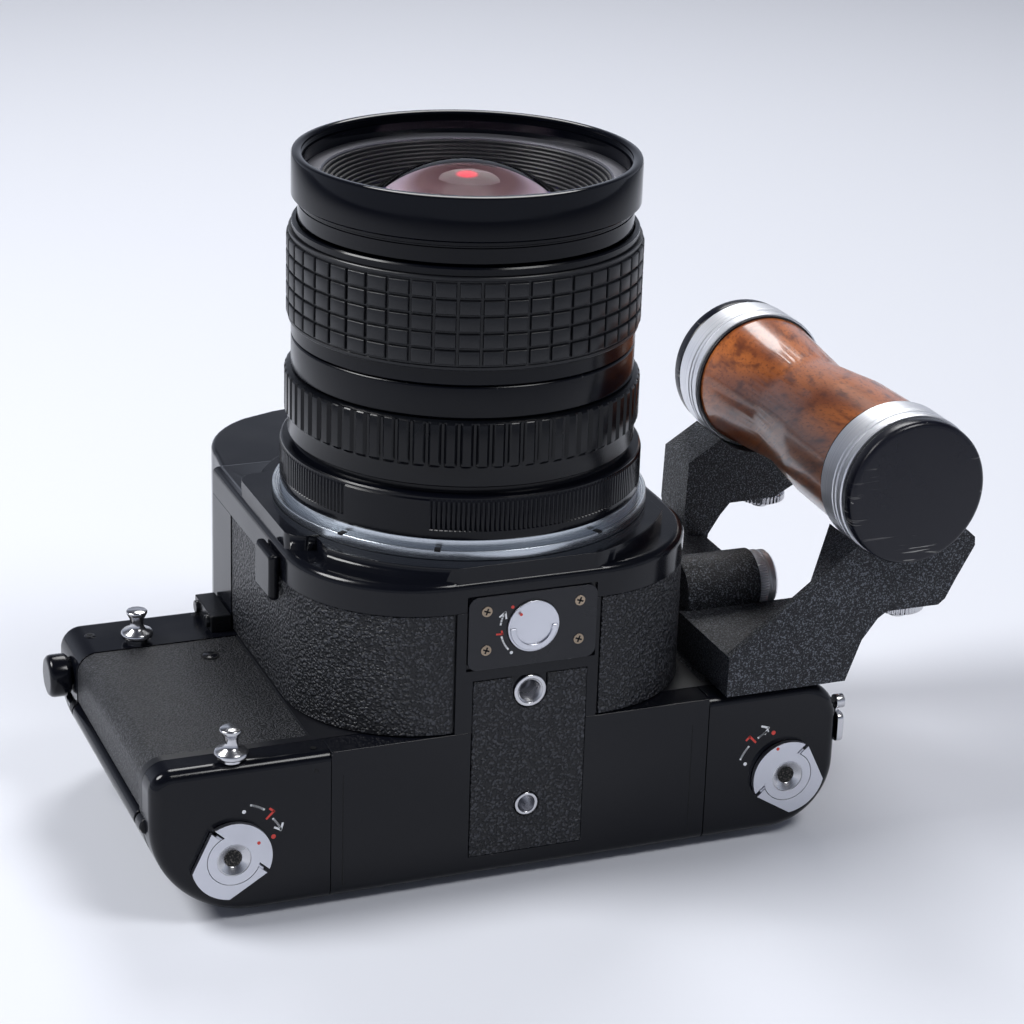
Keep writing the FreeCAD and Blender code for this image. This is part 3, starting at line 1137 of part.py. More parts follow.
def lens():
    finish("lens_barrel", turned("z", [
        (s.bayonet_bore, s.bayonet_back), (s.bayonet_radius, s.bayonet_back),
        (s.bayonet_radius, s.flange), (s.lens_base, s.flange),
        (s.lens_base, s.lens_base_front), (s.lens_neck, s.lens_base_front),
        (s.lens_neck, s.lens_neck_front), (s.lens_tube, s.lens_neck_front),
        (s.lens_tube, s.band_back), (s.lens_band, s.band_back),
        (s.lens_band, s.band_front), (s.lens_tube, s.band_front),
        (s.lens_tube, s.lens_tube_front), (s.front_tube + s.run_gap, s.lens_tube_front),
        (s.front_tube + s.run_gap, s.lens_floor), (s.bayonet_bore, s.lens_floor)]))
    bore = s.lens_tube + s.run_gap
    finish("aperture_ring", turned("z", [
        (bore, s.aperture_back), (s.aperture_band, s.aperture_back),
        (s.aperture_band, s.aperture_step), (s.aperture_radius, s.aperture_step),
        (s.aperture_radius, s.aperture_front), (bore, s.aperture_front)]))
    finish("focus_ring", turned("z", [
        (bore, s.focus_back), (s.focus_rim, s.focus_back), (s.focus_rim, s.rubber_back),
        (s.focus_seat, s.rubber_back), (s.focus_seat, s.rubber_front),
        (s.focus_rim, s.rubber_front), (s.focus_rim, s.focus_front), (bore, s.focus_front)]))
    finish("focus_rubber", tube("z", s.rubber_radius, s.focus_seat, (0, 0, s.rubber_back),
                                s.rubber_front - s.rubber_back))
    finish("front_barrel", turned("z", [
        (s.cell_rear_bore, s.cell_back), (s.cell_tube, s.cell_back),
        (s.cell_tube, s.web_back), (s.front_tube_bore, s.web_back),
        (s.front_tube_bore, s.front_tube_back), (s.front_tube, s.front_tube_back),
        (s.front_tube, s.collar_back), (s.collar_radius, s.collar_back),
        (s.collar_radius, s.rim_back), (s.rim_radius, s.rim_back),
        (s.rim_radius, s.rim_front), (s.filter_radius, s.rim_front),
        (s.filter_radius, s.thread_back), (s.name_radius + s.run_gap, s.thread_back),
        (s.name_radius + s.run_gap, s.name_seat), (s.front_tube_bore, s.name_seat),
        (s.front_tube_bore, s.web_front),
        (s.cell_tube, s.web_front), (s.cell_tube, s.cell_front), (s.cell_bore, s.cell_front),
        (s.cell_bore, s.cell_shoulder), (s.cell_rear_bore, s.cell_shoulder)]))
    baffle()
    sag = s.front_glass_sag
    dome = (s.front_glass * s.front_glass + sag * sag) / (sag * 2)
    finish("lens_front_glass", turned("z", [
        (0, s.front_glass_back), (s.front_glass, s.front_glass_back),
        (s.front_glass, s.front_glass_edge, dome), (0, s.front_glass_edge + sag)]))
    finish("lens_rear_glass", rod("z", s.rear_glass, (0, 0, s.rear_glass_back),
                                  s.rear_glass_front - s.rear_glass_back))
    finish("iris_blades", tube("z", s.cell_bore - s.run_gap, s.iris_hole, (0, 0, s.iris_level),
                               s.iris_thick))


def baffle():
    """The name ring and the stepped light baffle that runs down from it to the glass."""
    step_in = (s.name_inner - s.cone_inner) / BAFFLE_STEPS
    step_down = (s.name_seat - s.cone_low) / BAFFLE_STEPS
    upper = []
    lower = []
    for number in range(BAFFLE_STEPS):
        radius = s.name_inner - step_in * number
        level = s.name_seat - step_down * number
        upper += [(radius, level), (radius - step_in, level)]
        lower += [(radius, level - step_down)]
    edge = s.name_radius
    web = s.front_tube_bore - s.shell_gap
    finish("front_baffle", turned("z", [
        (s.name_inner, s.name_seat + s.name_thick)] + upper[1:] + [(s.cone_inner, s.cone_low)]
        + list(reversed(lower[1:])) + [
        (s.name_inner + step_in, s.name_seat - step_down), (web, s.name_seat), (edge, s.name_seat),
        (edge, s.name_seat + s.name_thick)]))


def side_grip():
    lift = front + s.base_lift
    floor = s.arm_floor
    edge, axis = s.base_right, s.handle_x
    near = slab("xz", -s.arm_near, near_arm_end, [
        (s.base_left, lift), (edge, lift), (edge + s.foot_x, s.base_top),
        (edge + s.heel_x, floor - s.heel_z), (edge + s.sole_x, floor), (axis + s.toe_x, floor),
        (axis + s.toe_round_x, floor + s.toe_round_z), (axis + s.side_x, floor + s.side_z),
        (axis + s.tip_x, floor + s.tip_z), (axis + s.tip_end_x, floor + s.tip_end_z),
        (axis + s.crown_x, floor + s.crown_z), (axis + s.seat_out, floor + s.seat_out_z),
        (axis - s.seat_in, floor + s.seat_in_z), (s.base_left, s.base_top)])
    # the near arm is a thin plate that widens towards its cradle
    inner = -s.arm_near + s.arm_plate
    cradle = axis - s.seat_in
    behind = slab("xy", s.base_top, s.handle_z, [
        (s.base_left - PAST, inner), (cradle - s.gusset, inner), (cradle, near_arm_end),
        (cradle, near_arm_end + PAST), (s.base_left - PAST, near_arm_end + PAST)])
    near = cut(near, behind)
    far = slab("xz", s.arm_far, far_arm_end, [
        (s.rail_left, lift), (edge - s.far_edge, lift), (edge - s.far_foot_x, s.rail_top),
        (edge + s.far_heel_x, floor - s.far_heel_z), (edge + s.far_sole_x, floor),
        (axis + s.far_toe_x, floor + s.far_toe_z), (axis + s.far_side_x, floor + s.far_side_z),
        (axis + s.far_tip_x, floor + s.far_tip_z), (axis + s.far_tip_x, floor + s.far_tip_end_z),
        (axis + s.seat_out, floor + s.seat_out_z), (axis - s.seat_in, floor + s.seat_in_z),
        (edge - s.far_inner_x, floor + s.far_inner_z),
        (edge - s.far_waist_x, floor - s.far_waist_z), (edge - s.far_root_x, s.rail_top),
        (s.rail_left, s.rail_top)])
    base = box((s.base_left, edge), (-s.arm_near, -s.base_far), (lift, s.base_top))
    rail = box((s.rail_left, edge - s.far_edge), (-s.base_far, far_arm_end), (lift, s.rail_top))
    boss_start = s.base_left + s.knob_boss_inset
    boss = rod("x", s.knob_boss, (boss_start, -s.knob_boss_y, s.knob_boss_z),
               s.knob_boss_right - boss_start)
    rooms = [
        rod("y", s.handle_ring + s.handle_seat_gap, (s.handle_x, -s.arm_near - PAST, s.handle_z),
            s.arm_near + far_arm_end + PAST * 2),
        rod("x", s.knob_radius + s.knob_room,
            (s.knob_boss_right, -s.knob_boss_y, s.knob_boss_z), edge - s.knob_boss_right),
        rod("x", s.knob_shaft + s.run_gap, (s.knob_shaft_end - PAST, -s.knob_boss_y, s.knob_boss_z),
            edge - s.knob_shaft_end)]
    for x, y in lug_places[2:]:
        rooms.append(rod("z", s.lug_pocket, (x, y, lift - PAST), s.lug_pocket_end - lift + PAST))
    for y in wheel_places.values():
        rooms.append(rod("z", s.wheel_shaft + s.run_gap, (s.wheel_x, y, floor - PAST),
                         s.wheel_shaft_end - floor + PAST * 2))
    finish("grip_bracket", cut(join(near, far, base, rail, boss), *rooms))

    near_face = -s.arm_near
    ring_start = near_face + s.handle_ring_width
    ring_end = far_arm_end - s.handle_ring_width
    finish("grip_handle", cut(turned("y", [
        (0, near_face), (s.tenon, near_face), (s.tenon, ring_start), (s.handle_end, ring_start),
        (s.swell_near, -s.swell_near_y), (s.handle_waist, s.handle_waist_y),
        (s.swell_far, s.swell_far_y), (s.handle_end, ring_end), (s.tenon, ring_end),
        (s.tenon, far_arm_end), (0, far_arm_end)], (s.handle_x, 0, s.handle_z)), *wheel_bores()))
    rings = [
        tube("y", s.handle_ring, s.tenon + s.run_gap, (s.handle_x, start, s.handle_z),
             s.handle_ring_width) for start in (near_face, ring_end)]
    finish("grip_rings", cut(group(*rings), *wheel_bores()))
    disc, bend = s.handle_ring, s.cap_round
    near_cap = turned("y", [
        (0, near_face - s.cap_thick), (disc - bend, near_face - s.cap_thick, bend),
        (disc, near_face - s.cap_thick + bend), (disc, near_face), (0, near_face)],
        (s.handle_x, 0, s.handle_z))
    far_cap = turned("y", [
        (0, far_arm_end), (disc, far_arm_end), (disc, far_arm_end + s.cap_thick - bend, bend),
        (disc - bend, far_arm_end + s.cap_thick), (0, far_arm_end + s.cap_thick)],
        (s.handle_x, 0, s.handle_z))
    finish("grip_caps", group(near_cap, far_cap))

    for name, y in wheel_places.items():
        under = floor - s.wheel_gap
        finish(f"grip_wheel_{name}", join(
            rod("z", s.wheel_radius, (s.wheel_x, y, under - s.wheel_thick), s.wheel_thick),
            rod("z", s.wheel_head, (s.wheel_x, y, under - s.wheel_thick - s.wheel_head_length),
                s.wheel_head_length + PAST),
            rod("z", s.wheel_shaft, (s.wheel_x, y, under - PAST),
                s.wheel_shaft_end - under + PAST)))
    finish("bracket_knob", join(
        rod("x", s.knob_radius, (s.knob_back, -s.knob_boss_y, s.knob_boss_z),
            s.knob_front - s.knob_back),
        rod("x", s.knob_shaft, (s.knob_shaft_end, -s.knob_boss_y, s.knob_boss_z),
            s.knob_back - s.knob_shaft_end + PAST)))


def wheel_bores():
    return [rod("z", s.wheel_shaft + s.run_gap, (s.wheel_x, y, s.arm_floor),
                s.wheel_shaft_end - s.arm_floor + s.shell_gap) for y in wheel_places.values()]


def check_and_export():
    doc.recompute()
    faults = [item.Label for item in doc.Objects
              if "Invalid" in item.State or "Error" in item.State]
    faults += [node for node, thing in PARTS.items()
               if thing.Shape.isNull() or not thing.Shape.isValid()]
    if faults:
        raise RuntimeError(f"these objects failed: {faults}")
    os.makedirs("parts", exist_ok=True)
    for node, thing in PARTS.items():
        thing.Shape.exportStep(os.path.join("parts", node + ".step"))
    print(f"{len(PARTS)} sub-parts written")


body_casting()
bottom_covers()
bottom_plate()
top_covers()
mirror_box_housing()
front_frame()
lens_mount_ring()
leather()
bottom_fittings()
strap_lugs()
hinge_and_door()
film_keys()
film_spools()
shutter_and_mirror()
finder()
sync_terminal()
top_controls()
lens()
side_grip()
check_and_export()
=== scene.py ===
import json
import math

import bmesh
import bpy
from bpy.props import FloatProperty, FloatVectorProperty, IntProperty, PointerProperty
from mathutils import Matrix, Vector


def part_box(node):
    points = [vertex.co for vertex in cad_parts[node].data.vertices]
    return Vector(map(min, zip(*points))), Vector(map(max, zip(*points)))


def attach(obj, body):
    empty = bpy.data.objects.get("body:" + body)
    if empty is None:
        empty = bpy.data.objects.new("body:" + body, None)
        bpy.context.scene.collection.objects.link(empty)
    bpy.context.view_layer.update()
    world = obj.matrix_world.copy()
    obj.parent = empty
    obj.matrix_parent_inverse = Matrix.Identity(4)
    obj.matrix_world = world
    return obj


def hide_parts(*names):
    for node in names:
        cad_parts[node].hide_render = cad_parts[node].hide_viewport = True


bl_info = {
    "name": "Reflex camera with a side grip",
    "version": (1, 0, 0),
    "blender": (4, 5, 0),
    "location": "3D View > Sidebar > Camera model",
    "description": "Dresses the packed solids of a medium format reflex camera",
    "category": "Object",
}

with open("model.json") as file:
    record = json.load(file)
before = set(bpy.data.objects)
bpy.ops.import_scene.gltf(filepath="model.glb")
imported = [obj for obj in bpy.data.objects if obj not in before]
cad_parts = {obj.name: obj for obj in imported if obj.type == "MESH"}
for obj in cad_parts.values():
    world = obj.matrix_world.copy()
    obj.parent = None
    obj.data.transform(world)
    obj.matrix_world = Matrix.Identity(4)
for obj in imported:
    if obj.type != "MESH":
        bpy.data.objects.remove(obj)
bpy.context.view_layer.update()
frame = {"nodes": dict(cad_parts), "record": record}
MM = 0.001
AXES = {"x": Vector((1, 0, 0)), "y": Vector((0, 1, 0)), "z": Vector((0, 0, 1))}
# a turned shape is drawn as (radius, place along the axis) and spun about +Z
UPRIGHT = {
    "x": Matrix.Rotation(math.radians(90), 4, "Y"),
    "y": Matrix.Rotation(math.radians(-90), 4, "X"),
    "z": Matrix.Identity(4),
}


def colour_property(name, text, value):
    return FloatVectorProperty(name=name, description=text, default=value, subtype="COLOR",
                               size=3, min=0.0, max=1.0)


def length_property(name, text, value):
    return FloatProperty(name=name, description=text, default=value * MM, unit="LENGTH",
                         subtype="DISTANCE", min=0.0)


class CameraBodySettings(bpy.types.PropertyGroup):
    enamel: colour_property("Enamel", "Colour of the glossy covers", (0.0035, 0.004, 0.0065))
    leather: colour_property("Leather", "Colour of the coarse leather", (0.006, 0.0065, 0.0085))
    silver: colour_property("Silver", "Colour of the satin keys", (0.62, 0.63, 0.68))
    edge: length_property("Edge", "How far the covers' edges are rounded", 0.6)
    pebble: length_property("Pebble", "Size of one bump of the leather", 0.8)


class CameraLensSettings(bpy.types.PropertyGroup):
    barrel: colour_property("Barrel", "Colour of the anodised rings", (0.0018, 0.0022, 0.0042))
    rubber: colour_property("Rubber", "Colour of the focusing grip", (0.006, 0.0065, 0.0085))
    # the milky tint is a painted reflection of the soft lamp in the front lens
    milky_reflection: colour_property("Coating", "Milky tint of the front lens", (0.56, 0.45, 0.53))
    blocks: IntProperty(name="Blocks", description="Rubber blocks round the grip", default=48,
                        min=12)
    rows: IntProperty(name="Rows", description="Rows of rubber blocks", default=5, min=1)
    ribs: IntProperty(name="Ribs", description="Ribs round the aperture ring", default=72,
                      min=12)


class CameraGripSettings(bpy.types.PropertyGroup):
    wood_light: colour_property("Light wood", "Pale wood of the handle", (0.47, 0.135, 0.028))
    wood_dark: colour_property("Dark wood", "Dark streaks of the handle", (0.085, 0.017, 0.007))
    paint: colour_property("Paint", "Colour of the wrinkle paint", (0.008, 0.0085, 0.0105))
    speck: length_property("Speck", "Size of one fleck of the wrinkle paint", 0.55)


class CameraStageSettings(bpy.types.PropertyGroup):
    floor: colour_property("Floor", "Colour of the floor", (0.70, 0.72, 0.78))
    key_power: FloatProperty(name="Key light", description="Power of the main soft light",
                             default=3.95, min=0.0, subtype="POWER", unit="POWER")


def settings(part):
    return getattr(bpy.context.scene, "camera_" + part)


def node(tree, kind, **values):
    """Add a shader node; a value named after an input is set on that socket."""
    made = tree.nodes.new(kind)
    for name, value in values.items():
        if hasattr(made, name):
            setattr(made, name, value)
        else:
            made.inputs[name.replace("_", " ")].default_value = value
    return made


def wire(tree, start, end):
    """Join two sockets, or set a socket to a plain number."""
    if isinstance(start, (int, float)):
        end.default_value = start
    else:
        tree.links.new(start, end)


def new_group(name, numbers, outputs):
    """A shader node group read at a vector, with named numbers in and out."""
    group = bpy.data.node_groups.new(name, "ShaderNodeTree")
    group.interface.new_socket("Vector", in_out="INPUT", socket_type="NodeSocketVector")
    for label, value in numbers.items():
        socket = group.interface.new_socket(label, in_out="INPUT", socket_type="NodeSocketFloat")
        socket.default_value = value
    for label in outputs:
        group.interface.new_socket(label, in_out="OUTPUT", socket_type="NodeSocketFloat")
    start = group.nodes.new("NodeGroupInput")
    end = group.nodes.new("NodeGroupOutput")
    return group, start.outputs, end.inputs


def remap(tree, value, low, high, floor=0.0, ceiling=1.0):
    """Spread a value between two levels out to a range, with a soft step."""
    step = node(tree, "ShaderNodeMapRange", interpolation_type="SMOOTHSTEP", From_Min=low,
                From_Max=high, To_Min=floor, To_Max=ceiling)
    wire(tree, value, step.inputs["Value"])
    return step.outputs["Result"]


def maths(tree, operation, first, second):
    made = node(tree, "ShaderNodeMath", operation=operation)
    wire(tree, first, made.inputs[0])
    wire(tree, second, made.inputs[1])
    return made.outputs[0]


def noise(tree, vector, scale, detail, roughness=0.5):
    """A noise texture read at a vector."""
    made = node(tree, "ShaderNodeTexNoise", Roughness=roughness)
    for label, value in (("Vector", vector), ("Scale", scale), ("Detail", detail)):
        wire(tree, value, made.inputs[label])
    return made.outputs


def warped(tree, vector, scale, detail, amount):
    """A vector that noise pushes about."""
    spread = node(tree, "ShaderNodeVectorMath", operation="SCALE")
    moved = node(tree, "ShaderNodeVectorMath", operation="ADD")
    wire(tree, noise(tree, vector, scale, detail)["Color"], spread.inputs[0])
    wire(tree, amount, spread.inputs["Scale"])
    wire(tree, vector, moved.inputs[0])
    wire(tree, spread.outputs[0], moved.inputs[1])
    return moved.outputs[0]


def off_axis(tree, vector):
    """How far a place lies from the Z axis, and its level along that axis."""
    parts = node(tree, "ShaderNodeSeparateXYZ")
    flat = node(tree, "ShaderNodeCombineXYZ")
    length = node(tree, "ShaderNodeVectorMath", operation="LENGTH")
    wire(tree, vector, parts.inputs[0])
    for label in "XY":
        wire(tree, parts.outputs[label], flat.inputs[label])
    wire(tree, flat.outputs[0], length.inputs[0])
    return length.outputs["Value"], parts.outputs["Z"]


def grain_group():
    """Fine unevenness of paint or cast metal: a height and a shade, both near one half."""
    group, start, end = new_group("Surface grain", {"Scale": 400.0, "Detail": 4.0},
                                  ("Height", "Shade"))
    fine = noise(group, start["Vector"], start["Scale"], start["Detail"], 0.6)
    wire(group, fine["Fac"], end["Height"])
    wire(group, noise(group, start["Vector"], 60.0, 3.0)["Fac"], end["Shade"])
    return group


def leather_group():
    """Pebbled leather cloth: round bumps of uneven size with narrow valleys."""
    group, start, end = new_group("Leather grain", {"Scale": 900.0}, ("Height", "Valley"))
    vector, scale = start["Vector"], start["Scale"]
    cells = node(group, "ShaderNodeTexVoronoi", feature="SMOOTH_F1", Smoothness=0.55)
    half = maths(group, "MULTIPLY", scale, 0.7)
    double = maths(group, "MULTIPLY", scale, 2.6)
    wire(group, warped(group, vector, half, 3.0, 0.0012), cells.inputs["Vector"])
    wire(group, scale, cells.inputs["Scale"])
    bump = remap(group, cells.outputs["Distance"], 0.15, 0.75, 1.0, 0.0)
    tooth = maths(group, "MULTIPLY", noise(group, vector, double, 3.0)["Fac"], 0.35)
    wire(group, maths(group, "ADD", bump, tooth), end["Height"])
    wire(group, bump, end["Valley"])
    return group


def wear_group():
    """Where an edge is rubbed bright: the piece's edge attribute broken up by noise."""
    group, start, end = new_group("Edge wear", {"Scale": 300.0, "Amount": 0.4}, ("Mask",))
    edge = node(group, "ShaderNodeAttribute", attribute_name="edge")
    patch = noise(group, start["Vector"], start["Scale"], 5.0, 0.65)
    worn = remap(group, maths(group, "ADD", patch["Fac"], start["Amount"]), 0.95, 1.08)
    wire(group, maths(group, "MULTIPLY", worn, edge.outputs["Fac"]), end["Mask"])
    return group


def scratch_group():
    """Thin straight scratches that run about one way, a few at a time."""
    group, start, end = new_group("Scratches", {"Scale": 60.0, "Amount": 0.3}, ("Mask",))
    turn = node(group, "ShaderNodeMapping", Rotation=(0.5, 0.4, 0.7), Scale=(1.0, 14.0, 1.0))
    wire(group, start["Vector"], turn.inputs["Vector"])
    line = noise(group, turn.outputs["Vector"], start["Scale"], 2.0, 0.4)
    patch = noise(group, start["Vector"], 45.0, 2.0)
    where = remap(group, maths(group, "ADD", patch["Fac"], start["Amount"]), 0.85, 1.0)
    thin = remap(group, line["Fac"], 0.63, 0.68)
    wire(group, maths(group, "MULTIPLY", thin, where), end["Mask"])
    return group


def turning_group():
    """Fine rings left by turning or brushing a round piece about its own Z axis."""
    group, start, end = new_group("Turned metal", {"Scale": 2500.0}, ("Height", "Shade"))
    rings = node(group, "ShaderNodeCombineXYZ")
    for value, label in zip(off_axis(group, start["Vector"]), "XY"):
        wire(group, value, rings.inputs[label])
    line = noise(group, rings.outputs[0], start["Scale"], 3.0, 0.7)["Fac"]
    wire(group, line, end["Height"])
    wire(group, remap(group, line, 0.3, 0.7), end["Shade"])
    return group


MAKERS = {"grain": grain_group, "leather": leather_group, "wear": wear_group,
          "scratch": scratch_group, "turning": turning_group}
GROUPS = {}
SHADERS = {}
# places on the camera, in mm of the shared frame
HANDLE = (101.5, 0.0, 93.8)
KEYS = {"left": -74.9, "right": 72.5}
KEY_LEVEL = 17.8
BATTERY_CAP = (0.87, 68.9)
BOTTOM, PLATE = -50.1, -50.6
FILM_FRONT = 42.0
PAINT = 0.04


def shared(name):
    if name not in GROUPS:
        GROUPS[name] = MAKERS[name]()
    return GROUPS[name]


class Finish:
    """One material under construction, with the steps that most finishes share."""

    def __init__(self, name, colour, roughness, metallic=0.0, coat=0.0, coat_roughness=0.05,
                 ior=1.5, turn=None, centre=(0, 0, 0)):
        self.material = bpy.data.materials.new(name)
        self.material.use_nodes = True
        self.tree = self.material.node_tree
        self.shader = self.tree.nodes["Principled BSDF"]
        for label, value in (
                ("Base Color", (*colour, 1.0)), ("Roughness", roughness),
                ("Metallic", metallic), ("Coat Weight", coat),
                ("Coat Roughness", coat_roughness), ("IOR", ior)):
            self.shader.inputs[label].default_value = value
        self.vector = node(self.tree, "ShaderNodeTexCoord").outputs["Object"]
        if turn:
            spin = UPRIGHT[turn].inverted() @ Matrix.Translation(Vector(centre) * -MM)
            place = node(self.tree, "ShaderNodeMapping", Location=spin.to_translation(),
                         Rotation=spin.to_euler())
            wire(self.tree, self.vector, place.inputs["Vector"])
            self.vector = place.outputs["Vector"]

    def use(self, name, **values):
        made = node(self.tree, "ShaderNodeGroup")
        made.node_tree = shared(name)
        wire(self.tree, self.vector, made.inputs["Vector"])
        for label, value in values.items():
            made.inputs[label].default_value = value
        return made.outputs

    def lay(self, mask, label, value, kind, first, result):
        """Lay another value over what a socket has so far, by a mask."""
        blend = node(self.tree, "ShaderNodeMix", data_type=kind)
        target = self.shader.inputs[label]
        if target.is_linked:
            wire(self.tree, target.links[0].from_socket, blend.inputs[first])
        else:
            blend.inputs[first].default_value = target.default_value
        blend.inputs[first + 1].default_value = value
        wire(self.tree, mask, blend.inputs[0])
        wire(self.tree, blend.outputs[result], target)
        return self

    def mix_colour(self, mask, colour):
        return self.lay(mask, "Base Color", (*colour, 1.0), "RGBA", 6, 2)

    def mix_value(self, mask, label, value):
        return self.lay(mask, label, value, "FLOAT", 2, 0)

    def tint(self, value, low, high, colour, *ends):
        """Another colour where a value rises from one level to another."""
        return self.mix_colour(remap(self.tree, value, low, high, *ends), colour)

    def roughen(self, value, low, high, roughness):
        return self.mix_value(remap(self.tree, value, low, high), "Roughness", roughness)

    def bump(self, height, strength, distance):
        """Raise the surface by a height, over any bump that is already there."""
        made = node(self.tree, "ShaderNodeBump", Strength=strength, Distance=distance * MM)
        wire(self.tree, height, made.inputs["Height"])
        target = self.shader.inputs["Normal"]
        if target.is_linked:
            wire(self.tree, target.links[0].from_socket, made.inputs["Normal"])
        wire(self.tree, made.outputs["Normal"], target)
        return self

    def worn(self, colour, amount, scale=300.0, metallic=1.0):
        """Show the metal under a finish along the piece's rounded edges."""
        mask = self.use("wear", Scale=scale, Amount=amount)["Mask"]
        self.mix_colour(mask, colour)
        self.mix_value(mask, "Metallic", metallic)
        return self.mix_value(mask, "Roughness", 0.35)

    def scratched(self, colour, amount, scale=60.0):
        mask = self.use("scratch", Scale=scale, Amount=amount)["Mask"]
        self.mix_colour(mask, colour)
        return self.mix_value(mask, "Roughness", 0.5)


def painted(name, colour, low, high, ior, scale, band=(0.3, 0.8), bump=None, **place):
    """A dark finish whose roughness varies a little from place to place."""
    made = Finish(name, colour, low, ior=ior, **place)
    grain = made.use("grain", Scale=scale)
    made.roughen(grain["Shade"], *band, high)
    return made.bump(grain["Height"], *bump) if bump else made


def enamel():
    made = Finish("gloss enamel", settings("body").enamel, 0.12, ior=1.33)
    grain = made.use("grain", Scale=900.0)
    made.roughen(grain["Shade"], 0.35, 0.75, 0.22)
    made.bump(grain["Shade"], 0.1, 0.4).bump(grain["Height"], 0.05, 0.03)
    made.worn((0.42, 0.40, 0.38), 0.33)
    return made.scratched((0.035, 0.035, 0.04), 0.12)


def satin_casting():
    return painted("satin casting paint", (0.006, 0.0065, 0.009), 0.38, 0.5, 1.38, 1600.0,
                   bump=(0.25, 0.06)).worn((0.35, 0.34, 0.33), 0.30)


def leather(name, colour, low, high, scale, valley, height):
    """Leather cloth whose raised bumps are paler and smoother than its valleys."""
    made = Finish(name, colour, low, ior=1.42)
    grain = made.use("leather", Scale=scale)
    made.tint(grain["Valley"], valley, 0.95, (0.046, 0.048, 0.056))
    made.mix_value(grain["Valley"], "Roughness", high)
    return made.bump(grain["Height"], 1.0, height)


def coarse_leather():
    body = settings("body")
    return leather("coarse leather", body.leather, 0.42, 0.28, 1.0 / body.pebble, 0.3, 0.45)


def fine_leather():
    return leather("fine leather", (0.006, 0.0065, 0.008), 0.46, 0.33, 1900.0, 0.4, 0.2)


def lens_enamel():
    return painted("anodised lens black", settings("lens").barrel, 0.17, 0.27, 1.29, 1300.0,
                   (0.35, 0.75), (0.06, 0.03)).worn((0.42, 0.41, 0.41), 0.30, scale=380.0)


def lens_rim():
    return painted("polished lens black", settings("lens").barrel, 0.08, 0.15, 1.30, 900.0,
                   (0.4, 0.8)).worn((0.5, 0.49, 0.48), 0.16, scale=500.0)


def ribbed_ring():
    return painted("ribbed ring black", (0.003, 0.0035, 0.005), 0.18, 0.32, 1.32, 1500.0,
                   (0.35, 0.8), (0.1, 0.03)).worn((0.5, 0.49, 0.47), 0.38, scale=260.0)


def turned_finish(name, colour, low, high, scale, bump, shade=None, **surface):
    """A finish that shows the fine rings of its turning."""
    made = Finish(name, colour, low, **surface)
    rings = made.use("turning", Scale=scale)
    made.mix_value(rings["Shade"], "Roughness", high)
    if shade:
        made.mix_colour(rings["Shade"], shade)
    return made.bump(rings["Height"], *bump)


def baffle_black():
    return turned_finish("matt baffle black", (0.008, 0.008, 0.010), 0.36, 0.46, 1800.0,
                         (0.15, 0.04), ior=1.45)


def name_black():
    """The flat satin ring in front of the baffle, turned in fine circles."""
    return turned_finish("turned name ring", (0.22, 0.22, 0.25), 0.3, 0.38, 4200.0,
                         (0.2, 0.02), metallic=0.85)


def mount_silver():
    return turned_finish("turned mount silver", (0.56, 0.59, 0.63), 0.2, 0.34, 3200.0,
                         (0.25, 0.02), (0.42, 0.46, 0.50), metallic=1.0)


def brushed_ring():
    return turned_finish("brushed aluminium", (0.88, 0.89, 0.92), 0.42, 0.5, 2600.0,
                         (0.35, 0.03), (0.72, 0.73, 0.77), metallic=1.0, turn="y",
                         centre=HANDLE)


def grip_rubber():
    made = Finish("grip rubber", settings("lens").rubber, 0.3, ior=1.4)
    grain = made.use("grain", Scale=2200.0, Detail=6.0)
    made.roughen(grain["Shade"], 0.3, 0.75, 0.44)
    made.tint(grain["Shade"], 0.55, 0.9, (0.014, 0.015, 0.018))
    return made.bump(grain["Height"], 0.2, 0.04)


def metal(name, colour, low, high, scale=2200.0, shade=0.78, bump=0.14):
    """A metal whose roughness and colour vary a little from place to place."""
    made = Finish(name, colour, low, metallic=1.0)
    grain = made.use("grain", Scale=scale)
    made.roughen(grain["Shade"], 0.3, 0.8, high)
    made.tint(grain["Shade"], 0.5, 0.9, tuple(c * shade for c in colour))
    return made.bump(grain["Height"], bump, 0.02)


def satin_silver():
    made = metal("satin silver", settings("body").silver, 0.32, 0.42, 2600.0, 0.86)
    return made.scratched((0.36, 0.36, 0.38), 0.16)


def blackened_steel():
    return painted("blackened steel", (0.006, 0.0065, 0.009), 0.2, 0.32, 1.42, 1500.0,
                   bump=(0.1, 0.03)).worn((0.5, 0.48, 0.46), 0.34)


def gloss_plastic():
    return painted("black plastic", (0.006, 0.0065, 0.008), 0.2, 0.32, 1.42, 700.0,
                   bump=(0.08, 0.04)).scratched((0.05, 0.05, 0.055), 0.2)


def cap_black():
    made = painted("worn cap black", (0.005, 0.0055, 0.011), 0.18, 0.34, 1.38, 650.0,
                   (0.3, 0.75), (0.1, 0.05), turn="y", centre=HANDLE)
    made.worn((0.42, 0.41, 0.38), 0.31, scale=520.0, metallic=0.3)
    return made.scratched((0.26, 0.255, 0.24), 0.36, scale=110.0)


def wrinkle_paint():
    grip = settings("grip")
    made = Finish("wrinkle paint", grip.paint, 0.5, ior=1.36)
    grain = made.use("leather", Scale=1.0 / grip.speck)
    fleck = made.use("grain", Scale=2400.0, Detail=1.0)
    made.tint(grain["Valley"], 0.35, 0.95, (0.017, 0.018, 0.022))
    made.tint(fleck["Height"], 0.53, 0.66, (0.12, 0.13, 0.15))
    made.mix_value(grain["Valley"], "Roughness", 0.36)
    made.bump(grain["Height"], 0.8, 0.14)
    return made.worn((0.3, 0.29, 0.28), 0.26, scale=420.0)


def battery_panel():
    return painted("battery panel black", (0.006, 0.0065, 0.010), 0.26, 0.38, 1.42, 2400.0,
                   bump=(0.2, 0.03)).worn((0.5, 0.5, 0.5), 0.34)


